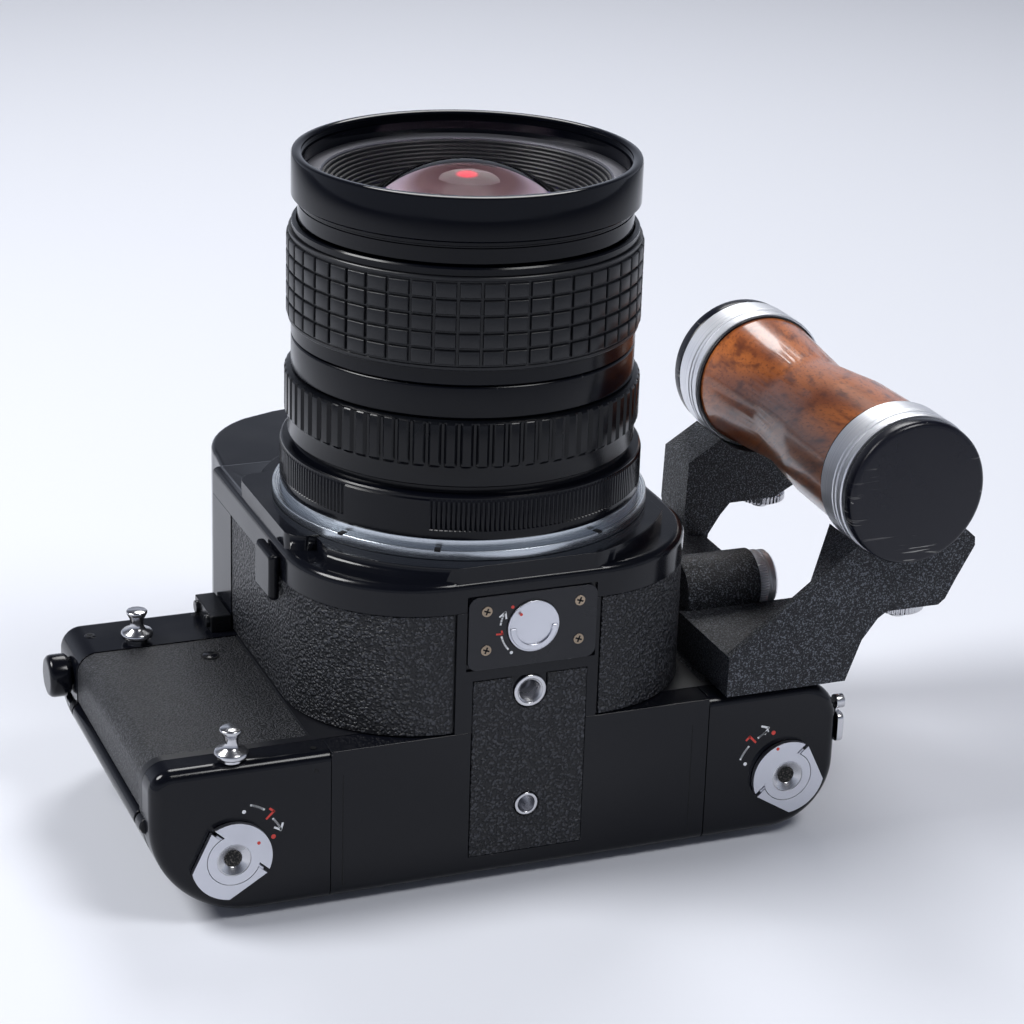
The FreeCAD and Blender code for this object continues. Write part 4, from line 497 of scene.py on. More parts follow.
def handle_wood():
    """Streaked hardwood cut at a slant to the handle, under a clear lacquer."""
    grip = settings("grip")
    made = Finish("lacquered wood", (0.25, 0.062, 0.014), 0.3, coat=0.55, coat_roughness=0.1,
                  ior=1.42, turn="y", centre=HANDLE)
    tree = made.tree
    slant = node(tree, "ShaderNodeMapping",
                 Rotation=(math.radians(26), math.radians(-17), 0.0))
    long = node(tree, "ShaderNodeMapping", Scale=(1.0, 1.0, 0.09))
    wire(tree, made.vector, slant.inputs["Vector"])
    wire(tree, slant.outputs["Vector"], long.inputs["Vector"])
    moved = warped(tree, long.outputs["Vector"], 40.0, 1.0, 0.012)
    pores = noise(tree, moved, 1500.0, 2.0)["Fac"]
    made.tint(noise(tree, moved, 75.0, 1.0)["Fac"], 0.36, 0.62, grip.wood_light)
    made.tint(noise(tree, moved, 330.0, 2.0)["Fac"], 0.45, 0.78, grip.wood_dark, 0.0, 0.85)
    made.tint(pores, 0.50, 0.72, grip.wood_dark, 0.0, 0.55)
    return made.bump(pores, 0.05, 0.03)


def speckled(name, colour, rough, low, high, fleck, bump, scale=2400.0, detail=4.0, ior=1.5):
    """A plain finish with flecks of another colour."""
    made = Finish(name, colour, rough, ior=ior)
    grain = made.use("grain", Scale=scale, Detail=detail)
    return made.tint(grain["Height"], low, high, fleck).bump(grain["Height"], *bump)


# matt black for dark joint lines, and painted shade that stands for holes, recesses, screw slots
# and notches
def dark_joints_and_painted_shade():
    return speckled("dark recess", (0.002, 0.002, 0.0025), 0.6, 0.5, 0.7,
                    (0.008, 0.008, 0.009), (0.4, 0.04), ior=1.35)


def knurled_floor():
    """The rough dark floor of a key's socket."""
    made = metal("dark socket floor", (0.025, 0.025, 0.025), 0.4, 0.6, 2600.0, 0.5, 0.9)
    fleck = made.use("grain", Scale=3000.0, Detail=1.0)
    return made.tint(fleck["Height"], 0.55, 0.66, (0.12, 0.11, 0.10))


def paint_mark(name, colour):
    return speckled(name, colour, 0.45, 0.58, 0.75, tuple(part * 0.75 for part in colour),
                    (0.1, 0.01), 2600.0)


def clear_glass(name, tint, ior=1.45):
    made = Finish(name, tint, 0.02, ior=ior)
    made.shader.inputs["Transmission Weight"].default_value = 1.0
    grain = made.use("grain", Scale=300.0)
    return made.bump(grain["Shade"], 0.01, 0.01)


def glass_with_painted_reflections():
    """Dark glass with painted reflections of the lamps: rings of colour round the lens axis and a
    red spot in its middle.
    """
    made = Finish("coated inner glass", (0.075, 0.035, 0.038), 0.2, ior=1.12)
    radius, _ = off_axis(made.tree, made.vector)
    # each row gives the radius in metres where a colour starts, where it is full, and the colour:
    # all painted reflections, the milky ring being that of the soft lamp
    for low, high, colour in (
            (0.004, 0.012, (0.13, 0.078, 0.082)), (0.011, 0.0195, settings("lens").milky_reflection),
            (0.0205, 0.0215, (0.02, 0.013, 0.14)), (0.0238, 0.0250, (0.004, 0.003, 0.02)),
            (0.0030, 0.0020, (0.75, 0.02, 0.05))):
        made.tint(radius, low, high, colour)
    return made


def mirror_silver():
    made = Finish("mirror silver", (0.86, 0.87, 0.88), 0.03, metallic=1.0)
    return made.roughen(made.use("grain", Scale=80.0)["Shade"], 0.5, 0.9, 0.08)


def curtain_cloth():
    return speckled("rubberised cloth", (0.012, 0.012, 0.013), 0.7, 0.45, 0.7,
                    (0.03, 0.03, 0.03), (0.4, 0.05), 3500.0, 6.0)


FINISHES = {
    "enamel": enamel, "casting": satin_casting, "coarse leather": coarse_leather,
    "fine leather": fine_leather, "lens black": lens_enamel, "lens rim": lens_rim,
    "ribbed": ribbed_ring, "baffle": baffle_black, "rubber": grip_rubber,
    "name ring": name_black, "silver": satin_silver, "mount": mount_silver,
    "steel": lambda: metal("bright steel", (0.58, 0.58, 0.60), 0.2, 0.32, 1800.0),
    "satin": lambda: metal("satin knob metal", (0.88, 0.88, 0.90), 0.42, 0.55, 2200.0, 0.85),
    "brushed": brushed_ring, "black steel": blackened_steel, "plastic": gloss_plastic,
    "cap": cap_black, "wrinkle": wrinkle_paint, "panel": battery_panel,
    "bronze": lambda: metal("bronzed screw", (0.34, 0.27, 0.20), 0.3, 0.5, 2600.0, 0.5, 0.3),
    "joint and painted shade": dark_joints_and_painted_shade, "knurled floor": knurled_floor,
    "wood": handle_wood, "coated": glass_with_painted_reflections,
    "mirror": mirror_silver, "cloth": curtain_cloth,
    "white paint": lambda: paint_mark("white paint", (0.78, 0.79, 0.80)),
    "red paint": lambda: paint_mark("red paint", (0.62, 0.045, 0.03)),
    "front glass": lambda: clear_glass("front glass", (0.97, 0.95, 1.0), 1.1),
    "clear glass": lambda: clear_glass("clear glass", (0.97, 0.99, 0.98)),
}


def shader(name):
    """The material of that finish, made the first time that it is asked for."""
    if name not in SHADERS:
        SHADERS[name] = FINISHES[name]().material
    return SHADERS[name]


# pieces

RIDES = {name: body for body, names in frame["record"]["behaviour"]["bodies"].items()
         for name in names}


def added(name, bm, finish, like, stands=False, crease=35.0):
    """Make a piece of a bmesh in metres. It rides with a CAD node."""
    bmesh.ops.remove_doubles(bm, verts=bm.verts, dist=0.001 * MM)
    bmesh.ops.recalc_face_normals(bm, faces=bm.faces)
    mesh = bpy.data.meshes.new(name)
    bm.to_mesh(mesh)
    bm.free()
    mesh.shade_smooth()
    mesh.set_sharp_from_angle(angle=math.radians(crease))
    mesh.materials.append(shader(finish))
    piece = bpy.data.objects.new(name, mesh)
    bpy.context.scene.collection.objects.link(piece)
    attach(piece, RIDES[like])
    if stands:
        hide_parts(like)
    return piece


def round_edges(bm, width, segments=3, sharp=28.0, where=None):
    """Bevel the outward edges and mark the bevels, so that a finish can show wear there."""
    picked = [edge for edge in bm.edges
              if len(edge.link_faces) == 2 and edge.is_convex
              and edge.calc_face_angle(0.0) > math.radians(sharp)
              and (where is None or where(edge))]
    made = bmesh.ops.bevel(bm, geom=picked, offset=width * MM, offset_type="OFFSET",
                           affect="EDGES", segments=segments, profile=0.5, material=-1,
                           clamp_overlap=True, loop_slide=True)
    layer = bm.loops.layers.float.get("edge") or bm.loops.layers.float.new("edge")
    band = set(made["faces"])
    for face in band:
        for loop in face.loops:
            if all(near in band for near in loop.vert.link_faces):
                loop[layer] = 1.0


def softened(name, finish, width):
    """A CAD solid's own shape with softened edges, which stands for that solid."""
    bm = bmesh.new()
    bm.from_mesh(frame["nodes"][name].data)
    bmesh.ops.remove_doubles(bm, verts=bm.verts, dist=0.002 * MM)
    bmesh.ops.dissolve_limit(bm, angle_limit=math.radians(0.6), verts=bm.verts, edges=bm.edges,
                             use_dissolve_boundaries=False, delimit=set())
    if width:
        round_edges(bm, width)
    piece = added(name + "_surface", bm, finish, name, True)
    piece.modifiers.new("even faces", "WEIGHTED_NORMAL").keep_sharp = True


def place(bm, axis, centre, verts=None):
    """Turn what was drawn about +Z to its own axis and move it to its place, in mm."""
    matrix = Matrix.Translation(Vector(centre) * MM) @ UPRIGHT[axis]
    bmesh.ops.transform(bm, matrix=matrix, verts=verts or bm.verts)


def spun(profile, steps, closed=True, bm=None):
    """Spin an outline of (radius, place) in mm about +Z."""
    bm = bm or bmesh.new()
    old = set(bm.verts)
    verts = [bm.verts.new((radius * MM, 0.0, level * MM)) for radius, level in profile]
    pairs = list(zip(verts, verts[1:])) + ([(verts[-1], verts[0])] if closed else [])
    edges = [bm.edges.new(pair) for pair in pairs]
    bmesh.ops.spin(bm, geom=verts + edges, cent=(0, 0, 0), axis=(0, 0, 1), dvec=(0, 0, 0),
                   angle=math.tau, steps=steps, use_merge=True, use_normal_flip=False,
                   use_duplicate=False)
    bmesh.ops.remove_doubles(bm, verts=[v for v in bm.verts if v not in old], dist=0.0005 * MM)
    return bm


def turned(name, profile, finish, like, stands=True, axis="z", centre=(0, 0, 0), steps=192,
           width=0.0, closed=True, shape=None):
    """A turned piece, with an optional change to its shape and rounded rims."""
    bm = spun(profile, steps, closed)
    bmesh.ops.recalc_face_normals(bm, faces=bm.faces)
    if shape:
        shape(bm)
    if width:
        round_edges(bm, width, 2)
    place(bm, axis, centre)
    added(name, bm, finish, like, stands)


def flute(bm, count, low, high, depth, solid, least, gate=None):
    """Press straight grooves into a turned face: of each pitch, a share stays up."""
    moved = []
    for vert in bm.verts:
        level, reach = vert.co.z / MM, math.hypot(vert.co.x, vert.co.y)
        if not low < level < high or reach / MM < least:
            continue
        turn = math.atan2(vert.co.y, vert.co.x)
        if gate and not gate(math.degrees(turn)):
            continue
        if (turn / math.tau * count + 1e-4) % 1.0 >= solid:
            moved.append((vert, 1.0 - depth * MM / reach))
    for vert, shrink in moved:
        vert.co.x *= shrink
        vert.co.y *= shrink


def screw_thread(valley, crest, start, end, pitch):
    """The zigzag outline of a fine thread, as (radius, place) in mm."""
    points = []
    while start < end:
        points += [(valley, start), (crest, start + pitch / 2)]
        start += pitch
    return points


def about(degrees, axis):
    return Matrix.Rotation(math.radians(degrees), 4, axis)


def block(bm, size, centre, turn=None):
    """A box of a size in mm whose middle is at a place in mm."""
    matrix = Matrix.Translation(Vector(centre) * MM) @ (turn or Matrix.Identity(4))
    made = bmesh.ops.create_cube(bm, size=1.0,
                                 matrix=matrix @ Matrix.Diagonal((*(s * MM for s in size), 1.0)))
    return made["verts"]


def stroke(bm, points, width, level):
    """A painted line through places (x, z) in mm on the camera's bottom."""
    for (x0, z0), (x1, z1) in zip(points, points[1:]):
        block(bm, (math.hypot(x1 - x0, z1 - z0) + width * 0.6, PAINT, width),
              ((x0 + x1) / 2, level - PAINT / 2, (z0 + z1) / 2),
              Matrix.Rotation(-math.atan2(z1 - z0, x1 - x0), 4, "Y"))


def curved(centre, radius, start, end, steps=8):
    """Places along an arc, by its angles in degrees."""
    turns = [math.radians(start + (end - start) * step / steps) for step in range(steps + 1)]
    return [(centre[0] + radius * math.cos(turn), centre[1] + radius * math.sin(turn))
            for turn in turns]


def disc(bm, radius, spot, axis="y", thick=PAINT, top=None):
    """A thin round disc whose middle is at a place in mm."""
    made = bmesh.ops.create_cone(bm, cap_ends=True, cap_tris=False, segments=24,
                                 radius1=radius * MM, radius2=(top or radius) * MM,
                                 depth=thick * MM)
    place(bm, axis, spot, made["verts"])


def paint_marks(prefix, like, level, lines, dots):
    """Painted lines and dots on the camera's bottom, as one piece for each colour."""
    paints = {"white": bmesh.new(), "red": bmesh.new()}
    for paint, width, points in lines:
        stroke(paints[paint], points, width, level)
    for paint, radius, spot in dots:
        disc(paints[paint], radius, spot)
    for paint, bm in paints.items():
        added(f"{prefix}_{paint}", bm, paint + " paint", like)


def figures(bm, words, height, matrix):
    """Plain figures as a thin raised print, placed by a matrix."""
    curve = bpy.data.curves.new("print", "FONT")
    curve.body = words
    curve.size = height * 1.42 * MM
    curve.align_x = curve.align_y = "CENTER"
    curve.extrude = 0.025 * MM
    curve.resolution_u = 3
    holder = bpy.data.objects.new("print", curve)
    mesh = bpy.data.meshes.new_from_object(holder)
    mesh.transform(matrix)
    bm.from_mesh(mesh)
    bpy.data.objects.remove(holder)
    bpy.data.curves.remove(curve)
    bpy.data.meshes.remove(mesh)


def facing(right, up, spot):
    """A frame whose print reads along `right` with its top towards `up`, at a place in mm."""
    out = right.cross(up)
    return Matrix.Translation(Vector(spot) * MM) @ Matrix((right, up, out)).transposed().to_4x4()


def round_lens(degrees, radius, level):
    """A frame on the lens's outside whose up is towards its front."""
    turn = math.radians(degrees)
    return facing(Vector((-math.sin(turn), math.cos(turn), 0)), AXES["z"],
                  (radius * math.cos(turn), radius * math.sin(turn), level))


def tick(bm, degrees, radius, level, length, width=0.25):
    matrix = round_lens(degrees, radius, level)
    bmesh.ops.create_cube(bm, size=1.0, matrix=matrix @ Matrix.Diagonal(
        (width * MM, length * MM, 0.05 * MM, 1.0)))


def ring_scale(bm, words, first, pitch, radius, level, height, mark=None):
    """Figures round the lens, each with a tick (level, length) if one is given."""
    for number, text in enumerate(words):
        degrees = first + pitch * number
        figures(bm, text, height, round_lens(degrees, radius, level))
        if mark:
            tick(bm, degrees, radius, *mark)


class PieceOperator:
    """What the operators that make the camera's pieces have in common."""

    bl_options = {"REGISTER", "UNDO"}
    surfaces = ()

    def execute(self, context):
        for name, finish, width in self.surfaces:
            softened(name, finish, width)
        self.build()
        return {"FINISHED"}

    def build(self):
        """Make the pieces that are more than a solid with softened edges."""


class CAMERA_OT_body(PieceOperator, bpy.types.Operator):
    """Casting, covers, door and leather of the camera body"""

    bl_idname = "camera_model.body"
    bl_label = "Body"

    def build(self):
        edge = settings("body").edge / MM
        for name, finish, width in (
                ("body_casting", "casting", edge), ("bottom_plate", "enamel", edge),
                *((cover, "enamel", edge * 1.6) for cover in (
                    "bottom_cover_left", "bottom_cover_right", "top_cover_left",
                    "top_cover_right")),
                ("back_door", "enamel", edge), ("leather_panels", "coarse leather", 0.25),
                ("leather_film", "fine leather", 0.15), ("leather_back", "fine leather", 0.4),
                ("hinge_pin", "black steel", 0.3)):
            softened(name, finish, width)
        self.marks()
        self.seams()

    def marks(self):
        """Painted arrows beside the two film keys: where each one turns and stops."""
        left, right = (KEYS["left"], KEY_LEVEL), (KEYS["right"], KEY_LEVEL)
        paint_marks("key_marks", "bottom_cover_left", BOTTOM, (
            ("white", 0.52, curved(left, 14.0, 70.5, 55.5)),
            ("red", 0.55, [(-65.5, 29.35), (-64.5, 28.5), (-66.35, 26.75)]),
            ("white", 0.52, curved(left, 13.4, 40.5, 24.2)),
            ("white", 0.52, [(-64.3, 24.1), (-62.75, 23.2), (-62.3, 24.95)]),
            ("white", 0.52, curved(right, 14.0, 126.0, 113.0)),
            ("white", 0.52, [(65.1, 32.25), (67.0, 31.6), (66.1, 29.9)]),
            ("red", 0.55, [(60.95, 28.9), (61.9, 29.8), (63.6, 28.0)]),
            ("white", 0.52, curved(right, 14.2, 155.5, 139.5))), (
            ("white", 0.5, (-71.95, BOTTOM - PAINT / 2, 29.45)),
            ("red", 0.6, (-64.6, BOTTOM - PAINT / 2, 21.7)),
            ("red", 0.6, (68.55, BOTTOM - PAINT / 2, 29.95)),
            ("white", 0.5, (61.0, BOTTOM - PAINT / 2, 22.2))))

    def seams(self):
        """Thin dark joint lines in the bottom plate, small screws on the casting, and painted
        shade for two small holes, the hollow round a screw and each screw's slot.
        """
        lines = bmesh.new()
        for x in (-47.0, 45.6):
            block(lines, (0.22, 0.04, 30.0), (x, BOTTOM - 0.01, 20.5))
        # two dark discs: painted shade in small holes
        disc(lines, 0.75, (-53.6, -46.6, FILM_FRONT + 0.14), "z", 0.06)
        disc(lines, 0.55, (-53.8, BOTTOM - 0.01, 37.6))
        added("seam_lines", lines, "joint and painted shade", "bottom_plate")
        # a dark disc and bar: painted shade in the hollow round a screw and in its slot
        recess, plug = bmesh.new(), bmesh.new()
        x, y = -62.3, 13.4
        disc(recess, 2.45, (x, y, FILM_FRONT + 0.03), "z", 0.06)
        disc(plug, 2.0, (x, y, FILM_FRONT + 0.07), "z", 0.08, 1.85)
        block(recess, (3.6, 0.5, 0.04), (x, y, FILM_FRONT + 0.12), about(20, "Z"))
        added("film_recess", recess, "joint and painted shade", "leather_film")
        added("film_recess_screw", plug, "enamel", "leather_film")
        screws, slot_shade = bmesh.new(), bmesh.new()
        for x, y in ((-88.6, 34.5), (-58.5, 39.5), (78.5, 38.5)):
            disc(screws, 1.5, (x, y, FILM_FRONT + 0.1), "z", 0.3, 1.3)
            # dark crossed bars: painted shade in each screw's slot
            for turn in (35, 125):
                block(slot_shade, (1.7, 0.34, 0.04), (x, y, FILM_FRONT + 0.25), about(turn, "Z"))
        added("cover_screws", screws, "black steel", "top_cover_left")
        added("cover_screw_slots", slot_shade, "joint and painted shade", "top_cover_left")


class CAMERA_OT_mirror_box(PieceOperator, bpy.types.Operator):
    """Mirror box, front frame, lens mount and the prism finder"""

    bl_idname = "camera_model.mirror_box"
    bl_label = "Mirror box and finder"
    surfaces = (
        ("mirror_box_housing", "enamel", 0.5), ("front_frame", "enamel", 0.6),
        ("finder_housing", "enamel", 1.2), ("eyepiece", "lens black", 0.4),
        ("finder_glass", "clear glass", 0.3), ("focusing_screen", "clear glass", 0.15),
        ("lens_mount_ring", "mount", 0.2), ("mirror_lock_tab", "lens black", 0.9),
        ("reflex_mirror", "mirror", 0.2), ("sync_sockets", "plastic", 0.3))

    def build(self):
        # dark blocks: painted shade in each notch of the mount ring
        notch_shade = bmesh.new()
        for degrees in (-147.8, -116.7, -63.8, 32.0, 118.0):
            turn = math.radians(degrees)
            block(notch_shade, (1.9, 1.5, 0.5), (46.7 * math.cos(turn), 46.7 * math.sin(turn), 87.85),
                  about(degrees, "Z"))
        added("mount_ring_notches", notch_shade, "joint and painted shade", "lens_mount_ring")


class CAMERA_OT_inner(PieceOperator, bpy.types.Operator):
    """Parts inside the body: spools, shutter, pressure plate and battery"""

    bl_idname = "camera_model.inner"
    bl_label = "Inner parts"
    surfaces = (
        ("film_spool_supply", "plastic", 0.3), ("film_spool_takeup", "plastic", 0.3),
        ("shutter_drums", "steel", 0.2), ("shutter_curtain", "cloth", 0.1),
        ("pressure_plate", "black steel", 0.2), ("battery_cell", "steel", 0.4))


class CAMERA_OT_keys(PieceOperator, bpy.types.Operator):
    """The two folding film keys under the body"""

    bl_idname = "camera_model.keys"
    bl_label = "Film keys"

    def build(self):
        for side, dot_x, dot_z in (("left", 6.15, 21.45), ("right", -3.25, 26.0)):
            x = KEYS[side]
            shaft = "key_shaft_" + side
            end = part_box(shaft)[1].y / MM
            turned(shaft + "_countersunk", [
                (0, -50.8), (2.25, -50.8), (2.4, -50.95), (3.95, -51.8), (4.2, -51.72),
                (4.2, -50.3), (6.4, -50.3), (6.4, -43.0), (3.0, -43.0), (3.0, end), (0, end)],
                "steel", shaft, axis="y", centre=(x, 0, KEY_LEVEL), steps=96, closed=False)
            socket = bmesh.new()
            disc(socket, 2.22, (x, -50.84, KEY_LEVEL), thick=0.06)
            added("key_socket_" + side, socket, "knurled floor", shaft)
            softened("key_disc_" + side, "silver", 0.2)
            dot = bmesh.new()
            disc(dot, 0.45, (x + dot_x, -51.82, dot_z))
            added("key_dot_" + side, dot, "red paint", "key_disc_" + side)
            softened("key_handle_" + side, "silver", 0.2)


class CAMERA_OT_controls(PieceOperator, bpy.types.Operator):
    """Advance lever, release, dial, selector and latch"""

    bl_idname = "camera_model.controls"
    bl_label = "Controls"
    surfaces = (
        ("advance_lever", "black steel", 0.6), ("release_button", "steel", 0.3),
        ("release_lock_ring", "black steel", 0.3), ("selector_knob", "enamel", 1.5),
        ("back_latch", "steel", 0.25))

    def build(self):
        """Knurled dial with plain figures and an index dot on the cover beside it."""
        x, z = 70.0, 22.0
        turned("speed_dial_knurled", [
            (0, 39.0), (2.5, 39.0), (2.5, 43.8), (11.3, 43.8), (12.0, 44.4), (12.0, 48.4),
            (11.4, 49.0), (11.2, 50.0), (0, 50.0)], "black steel", "speed_dial", axis="y",
            centre=(x, 0, z), steps=288, closed=False,
            shape=lambda bm: flute(bm, 72, 44.5, 48.3, 0.4, 0.5, 11.8))
        speeds = ("1000", "500", "250", "125", "60", "30", "15", "8", "4", "2", "1")
        print_work = bmesh.new()
        for number, words in enumerate(speeds):
            turn = math.radians(90 - number * 360 / len(speeds))
            up = Vector((math.cos(turn), 0, math.sin(turn)))
            figures(print_work, words, 1.5, facing(
                AXES["y"].cross(up) * -1, up, (x + 8.7 * up.x, 50.0, z + 8.7 * up.z)))
        added("speed_dial_figures", print_work, "white paint", "speed_dial")
        index = bmesh.new()
        disc(index, 0.6, (x, 43.52, z + 14.0))
        disc(index, 0.6, (-61.5, 43.52, 40.6))
        added("cover_index_dots", index, "white paint", "top_cover_right")


class CAMERA_OT_fittings(PieceOperator, bpy.types.Operator):
    """Battery plate and cap, bushes, screws and strap lugs"""

    bl_idname = "camera_model.fittings"
    bl_label = "Fittings"
    surfaces = (
        ("bottom_bushes", "steel", 0.3), ("battery_plate", "panel", 0.3),
        ("battery_plate_screws", "bronze", 0.2), ("battery_cap", "silver", 0.25))

    def build(self):
        lugs = bmesh.new()
        for x, y in ((-77.6, 28.3), (-74.1, -46.7), (75.6, 28.3), (72.1, -45.6)):
            old = set(lugs.verts)
            spun([(0, 39.2), (1.9, 39.2), (1.9, 42.0), (2.7, 42.0), (2.7, 42.8), (3.3, 42.85),
                  (3.95, 43.2), (4.2, 43.7), (4.2, 44.3), (3.8, 44.8), (2.3, 45.3), (1.8, 46.1),
                  (1.7, 47.2), (1.9, 48.2), (2.35, 49.1), (2.75, 49.8), (2.75, 50.2),
                  (2.55, 50.4), (0, 50.4)], 48, closed=False, bm=lugs)
            place(lugs, "z", (x, y, 0), [vert for vert in lugs.verts if vert not in old])
        added("strap_lugs_flared", lugs, "steel", "strap_lugs", True, 50.0)
        # dark crossed bars: painted shade in each screw's cross recess
        cross_shade = bmesh.new()
        for x in (-11.23, 12.97):
            for z in (63.8, 74.0):
                for turn in (20, 110):
                    block(cross_shade, (1.75, 0.05, 0.42), (x, -50.81, z), about(turn, "Y"))
        added("battery_screw_crosses", cross_shade, "joint and painted shade", "battery_plate_screws")
        thread = [(3.19, 50.3), (3.19, 43.0)] + screw_thread(2.85, 3.1, 43.2, 50.0, 0.7)
        turned("tripod_thread", thread, "steel", "bottom_bushes", False, "y",
               (0.87, -93.3, 51.3), 48)
        self.cap_marks()

    def cap_marks(self):
        """Painted arrows and dots beside the battery cap."""
        paint_marks("cap_marks", "battery_plate", PLATE, (
            ("white", 0.45, curved(BATTERY_CAP, 8.6, 172.0, 150.0, 5)),
            ("white", 0.45, [(-7.9, 72.2), (-6.45, 73.3), (-6.2, 71.6)]),
            ("white", 0.45, curved(BATTERY_CAP, 8.4, 194.0, 221.0, 5)),
            ("red", 0.45, [(-8.6, 67.7), (-7.1, 67.6), (-7.3, 68.4)])), (
            ("red", 0.42, (-4.6, PLATE - PAINT / 2, 74.4)),
            ("white", 0.42, (-4.6, PLATE - PAINT / 2, 62.4)),
            ("red", 0.4, (-2.75, -51.72, 72.6))))


class CAMERA_OT_lens(PieceOperator, bpy.types.Operator):
    """The lens: barrel, rings, rubber grip, rim, baffle and glass"""

    bl_idname = "camera_model.lens"
    bl_label = "Lens"

    def build(self):
        lens = settings("lens")
        self.barrel()
        self.aperture(lens.ribs)
        self.focusing(lens.blocks, lens.rows)
        self.front()
        self.dome()
        self.scales()
        # the rear glass carries the same painted reflections
        softened("lens_rear_glass", "coated", 0.3)
        softened("iris_blades", "black steel", 0.0)

    def barrel(self):
        def knurl(bm):
            flute(bm, 240, 92.4, 99.9, 0.38, 0.5, 45.0,
                  gate=lambda turn: not -147.9 < turn < -119.4)

        turned("lens_base", [
            (37.2, 84.0), (37.2, 90.0), (45.6, 90.0), (45.75, 90.4),
            (45.75, 92.3), (45.75, 92.5), (45.75, 99.8), (45.45, 100.2), (45.45, 100.7),
            (45.1, 101.0), (43.4, 101.0), (42.8, 101.2), (42.8, 102.6), (41.8, 102.6),
            (39.6, 102.6), (39.6, 92.0), (33.0, 92.0), (33.0, 84.0)],
            "lens black", "lens_barrel", steps=720, shape=knurl)
        turned("lens_tube", [
            (39.6, 102.6), (41.8, 102.6), (41.8, 119.9), (42.6, 119.9), (43.0, 120.25),
            (43.0, 127.6), (42.7, 128.0), (41.8, 128.0), (41.8, 152.0), (39.6, 152.0)],
            "lens black", "lens_barrel", width=0.12)

    def aperture(self, ribs):
        def rib(bm):
            flute(bm, ribs, 108.4, 119.2, 0.75, 0.55, 44.0)
            round_edges(bm, 0.12, 1, 30.0, lambda edge: all(
                vert.co.z > 108.0 * MM and vert.co.xy.length > 43.6 * MM for vert in edge.verts))

        turned("aperture_ring_ribbed", [
            (41.85, 102.9), (43.5, 102.9), (43.8, 103.2), (43.8, 107.6), (43.9, 107.9),
            (44.64, 108.6), (44.64, 118.9), (44.2, 119.35), (43.6, 119.6), (41.85, 119.6)],
            "ribbed", "aperture_ring", steps=ribs * 6, shape=rib)

    def focusing(self, blocks, rows):
        """The focus ring, and its rubber with raised blocks between two rims."""
        turned("focus_ring_turned", [
            (41.85, 128.3), (42.7, 128.3), (43.0, 128.6), (43.0, 132.1), (42.7, 132.3),
            (42.7, 155.2), (43.0, 155.4), (43.0, 156.9), (42.7, 157.25), (41.85, 157.25)],
            "lens black", "focus_ring")
        bm = spun([(42.72, 132.3), (43.6, 132.3), (43.75, 132.5), (43.75, 133.1), (43.5, 133.3),
                   (43.5, 154.2), (43.75, 154.4), (43.75, 155.0), (43.6, 155.2),
                   (42.72, 155.2)], 192)
        first, span, gap_along, gap_round, floor = 133.45, 20.6, 0.6, 0.75, 43.62
        pitch = span / rows
        sector = math.tau / blocks
        wide = 44.0 * sector - gap_round
        for row in range(rows):
            level = first + pitch * (row + 0.5)
            for number in range(blocks):
                verts = block(bm, (1.1, wide, pitch - gap_along), (0, 0, 0))
                top = {edge for vert in verts for edge in vert.link_edges
                       if all(end.co.x > 0 for end in edge.verts)}
                made = bmesh.ops.bevel(bm, geom=list(top), offset=0.28 * MM,
                                       offset_type="OFFSET", affect="EDGES", segments=2,
                                       profile=0.5, material=-1, clamp_overlap=True)
                own = {vert for vert in verts if vert.is_valid}
                own.update(vert for face in made["faces"] for vert in face.verts)
                bmesh.ops.translate(bm, verts=list(own), vec=(floor * MM, 0, level * MM))
                bmesh.ops.rotate(bm, verts=list(own), cent=(0, 0, 0),
                                 matrix=Matrix.Rotation(sector * (number + 0.5), 4, "Z"))
        added("focus_rubber_blocks", bm, "rubber", "focus_rubber", True)

    def front(self):
        """The front barrel with its filter thread, the name ring and the baffle."""
        turned("front_barrel_turned", [
            (26.05, 158.5), (28.0, 158.5), (28.0, 150.0), (37.8, 150.0), (37.8, 168.0),
            (40.15, 168.0), (40.15, 171.9), (40.65, 171.9)]
            + screw_thread(41.0, 40.65, 171.95, 173.6, 0.6) + [
            (40.7, 173.9), (41.3, 174.3), (42.4, 174.3), (42.9, 174.1), (43.14, 173.6),
            (43.14, 163.75), (42.7, 163.3), (41.5, 163.2), (41.5, 162.2), (41.25, 162.0),
            (41.25, 161.7), (41.5, 161.5), (41.5, 157.9), (41.2, 157.55), (39.5, 157.55),
            (39.5, 112.0), (37.8, 112.0), (37.8, 147.0), (28.0, 147.0), (28.0, 94.0),
            (21.05, 94.0), (21.05, 106.0), (26.05, 106.0)],
            "lens rim", "front_barrel", steps=240)
        turned("name_ring", [
            (35.6, 168.15), (40.1, 168.15), (40.1, 168.7), (39.9, 168.8), (36.0, 168.8),
            (35.6, 168.5)], "name ring", "front_baffle", False)
        ribs = []
        radius, level = 35.7, 168.1
        for _ in range(11):
            radius -= 0.80
            ribs += [(radius + 0.2, level), (radius, level - 0.2), (radius, level - 0.8)]
            level -= 0.82
        turned("front_baffle_ribbed", [(40.1, 168.0), (40.1, 168.14), (35.8, 168.14)] + ribs + [
            (26.6, 158.6), (27.2, 158.6), (37.0, 168.0)], "baffle", "front_baffle")

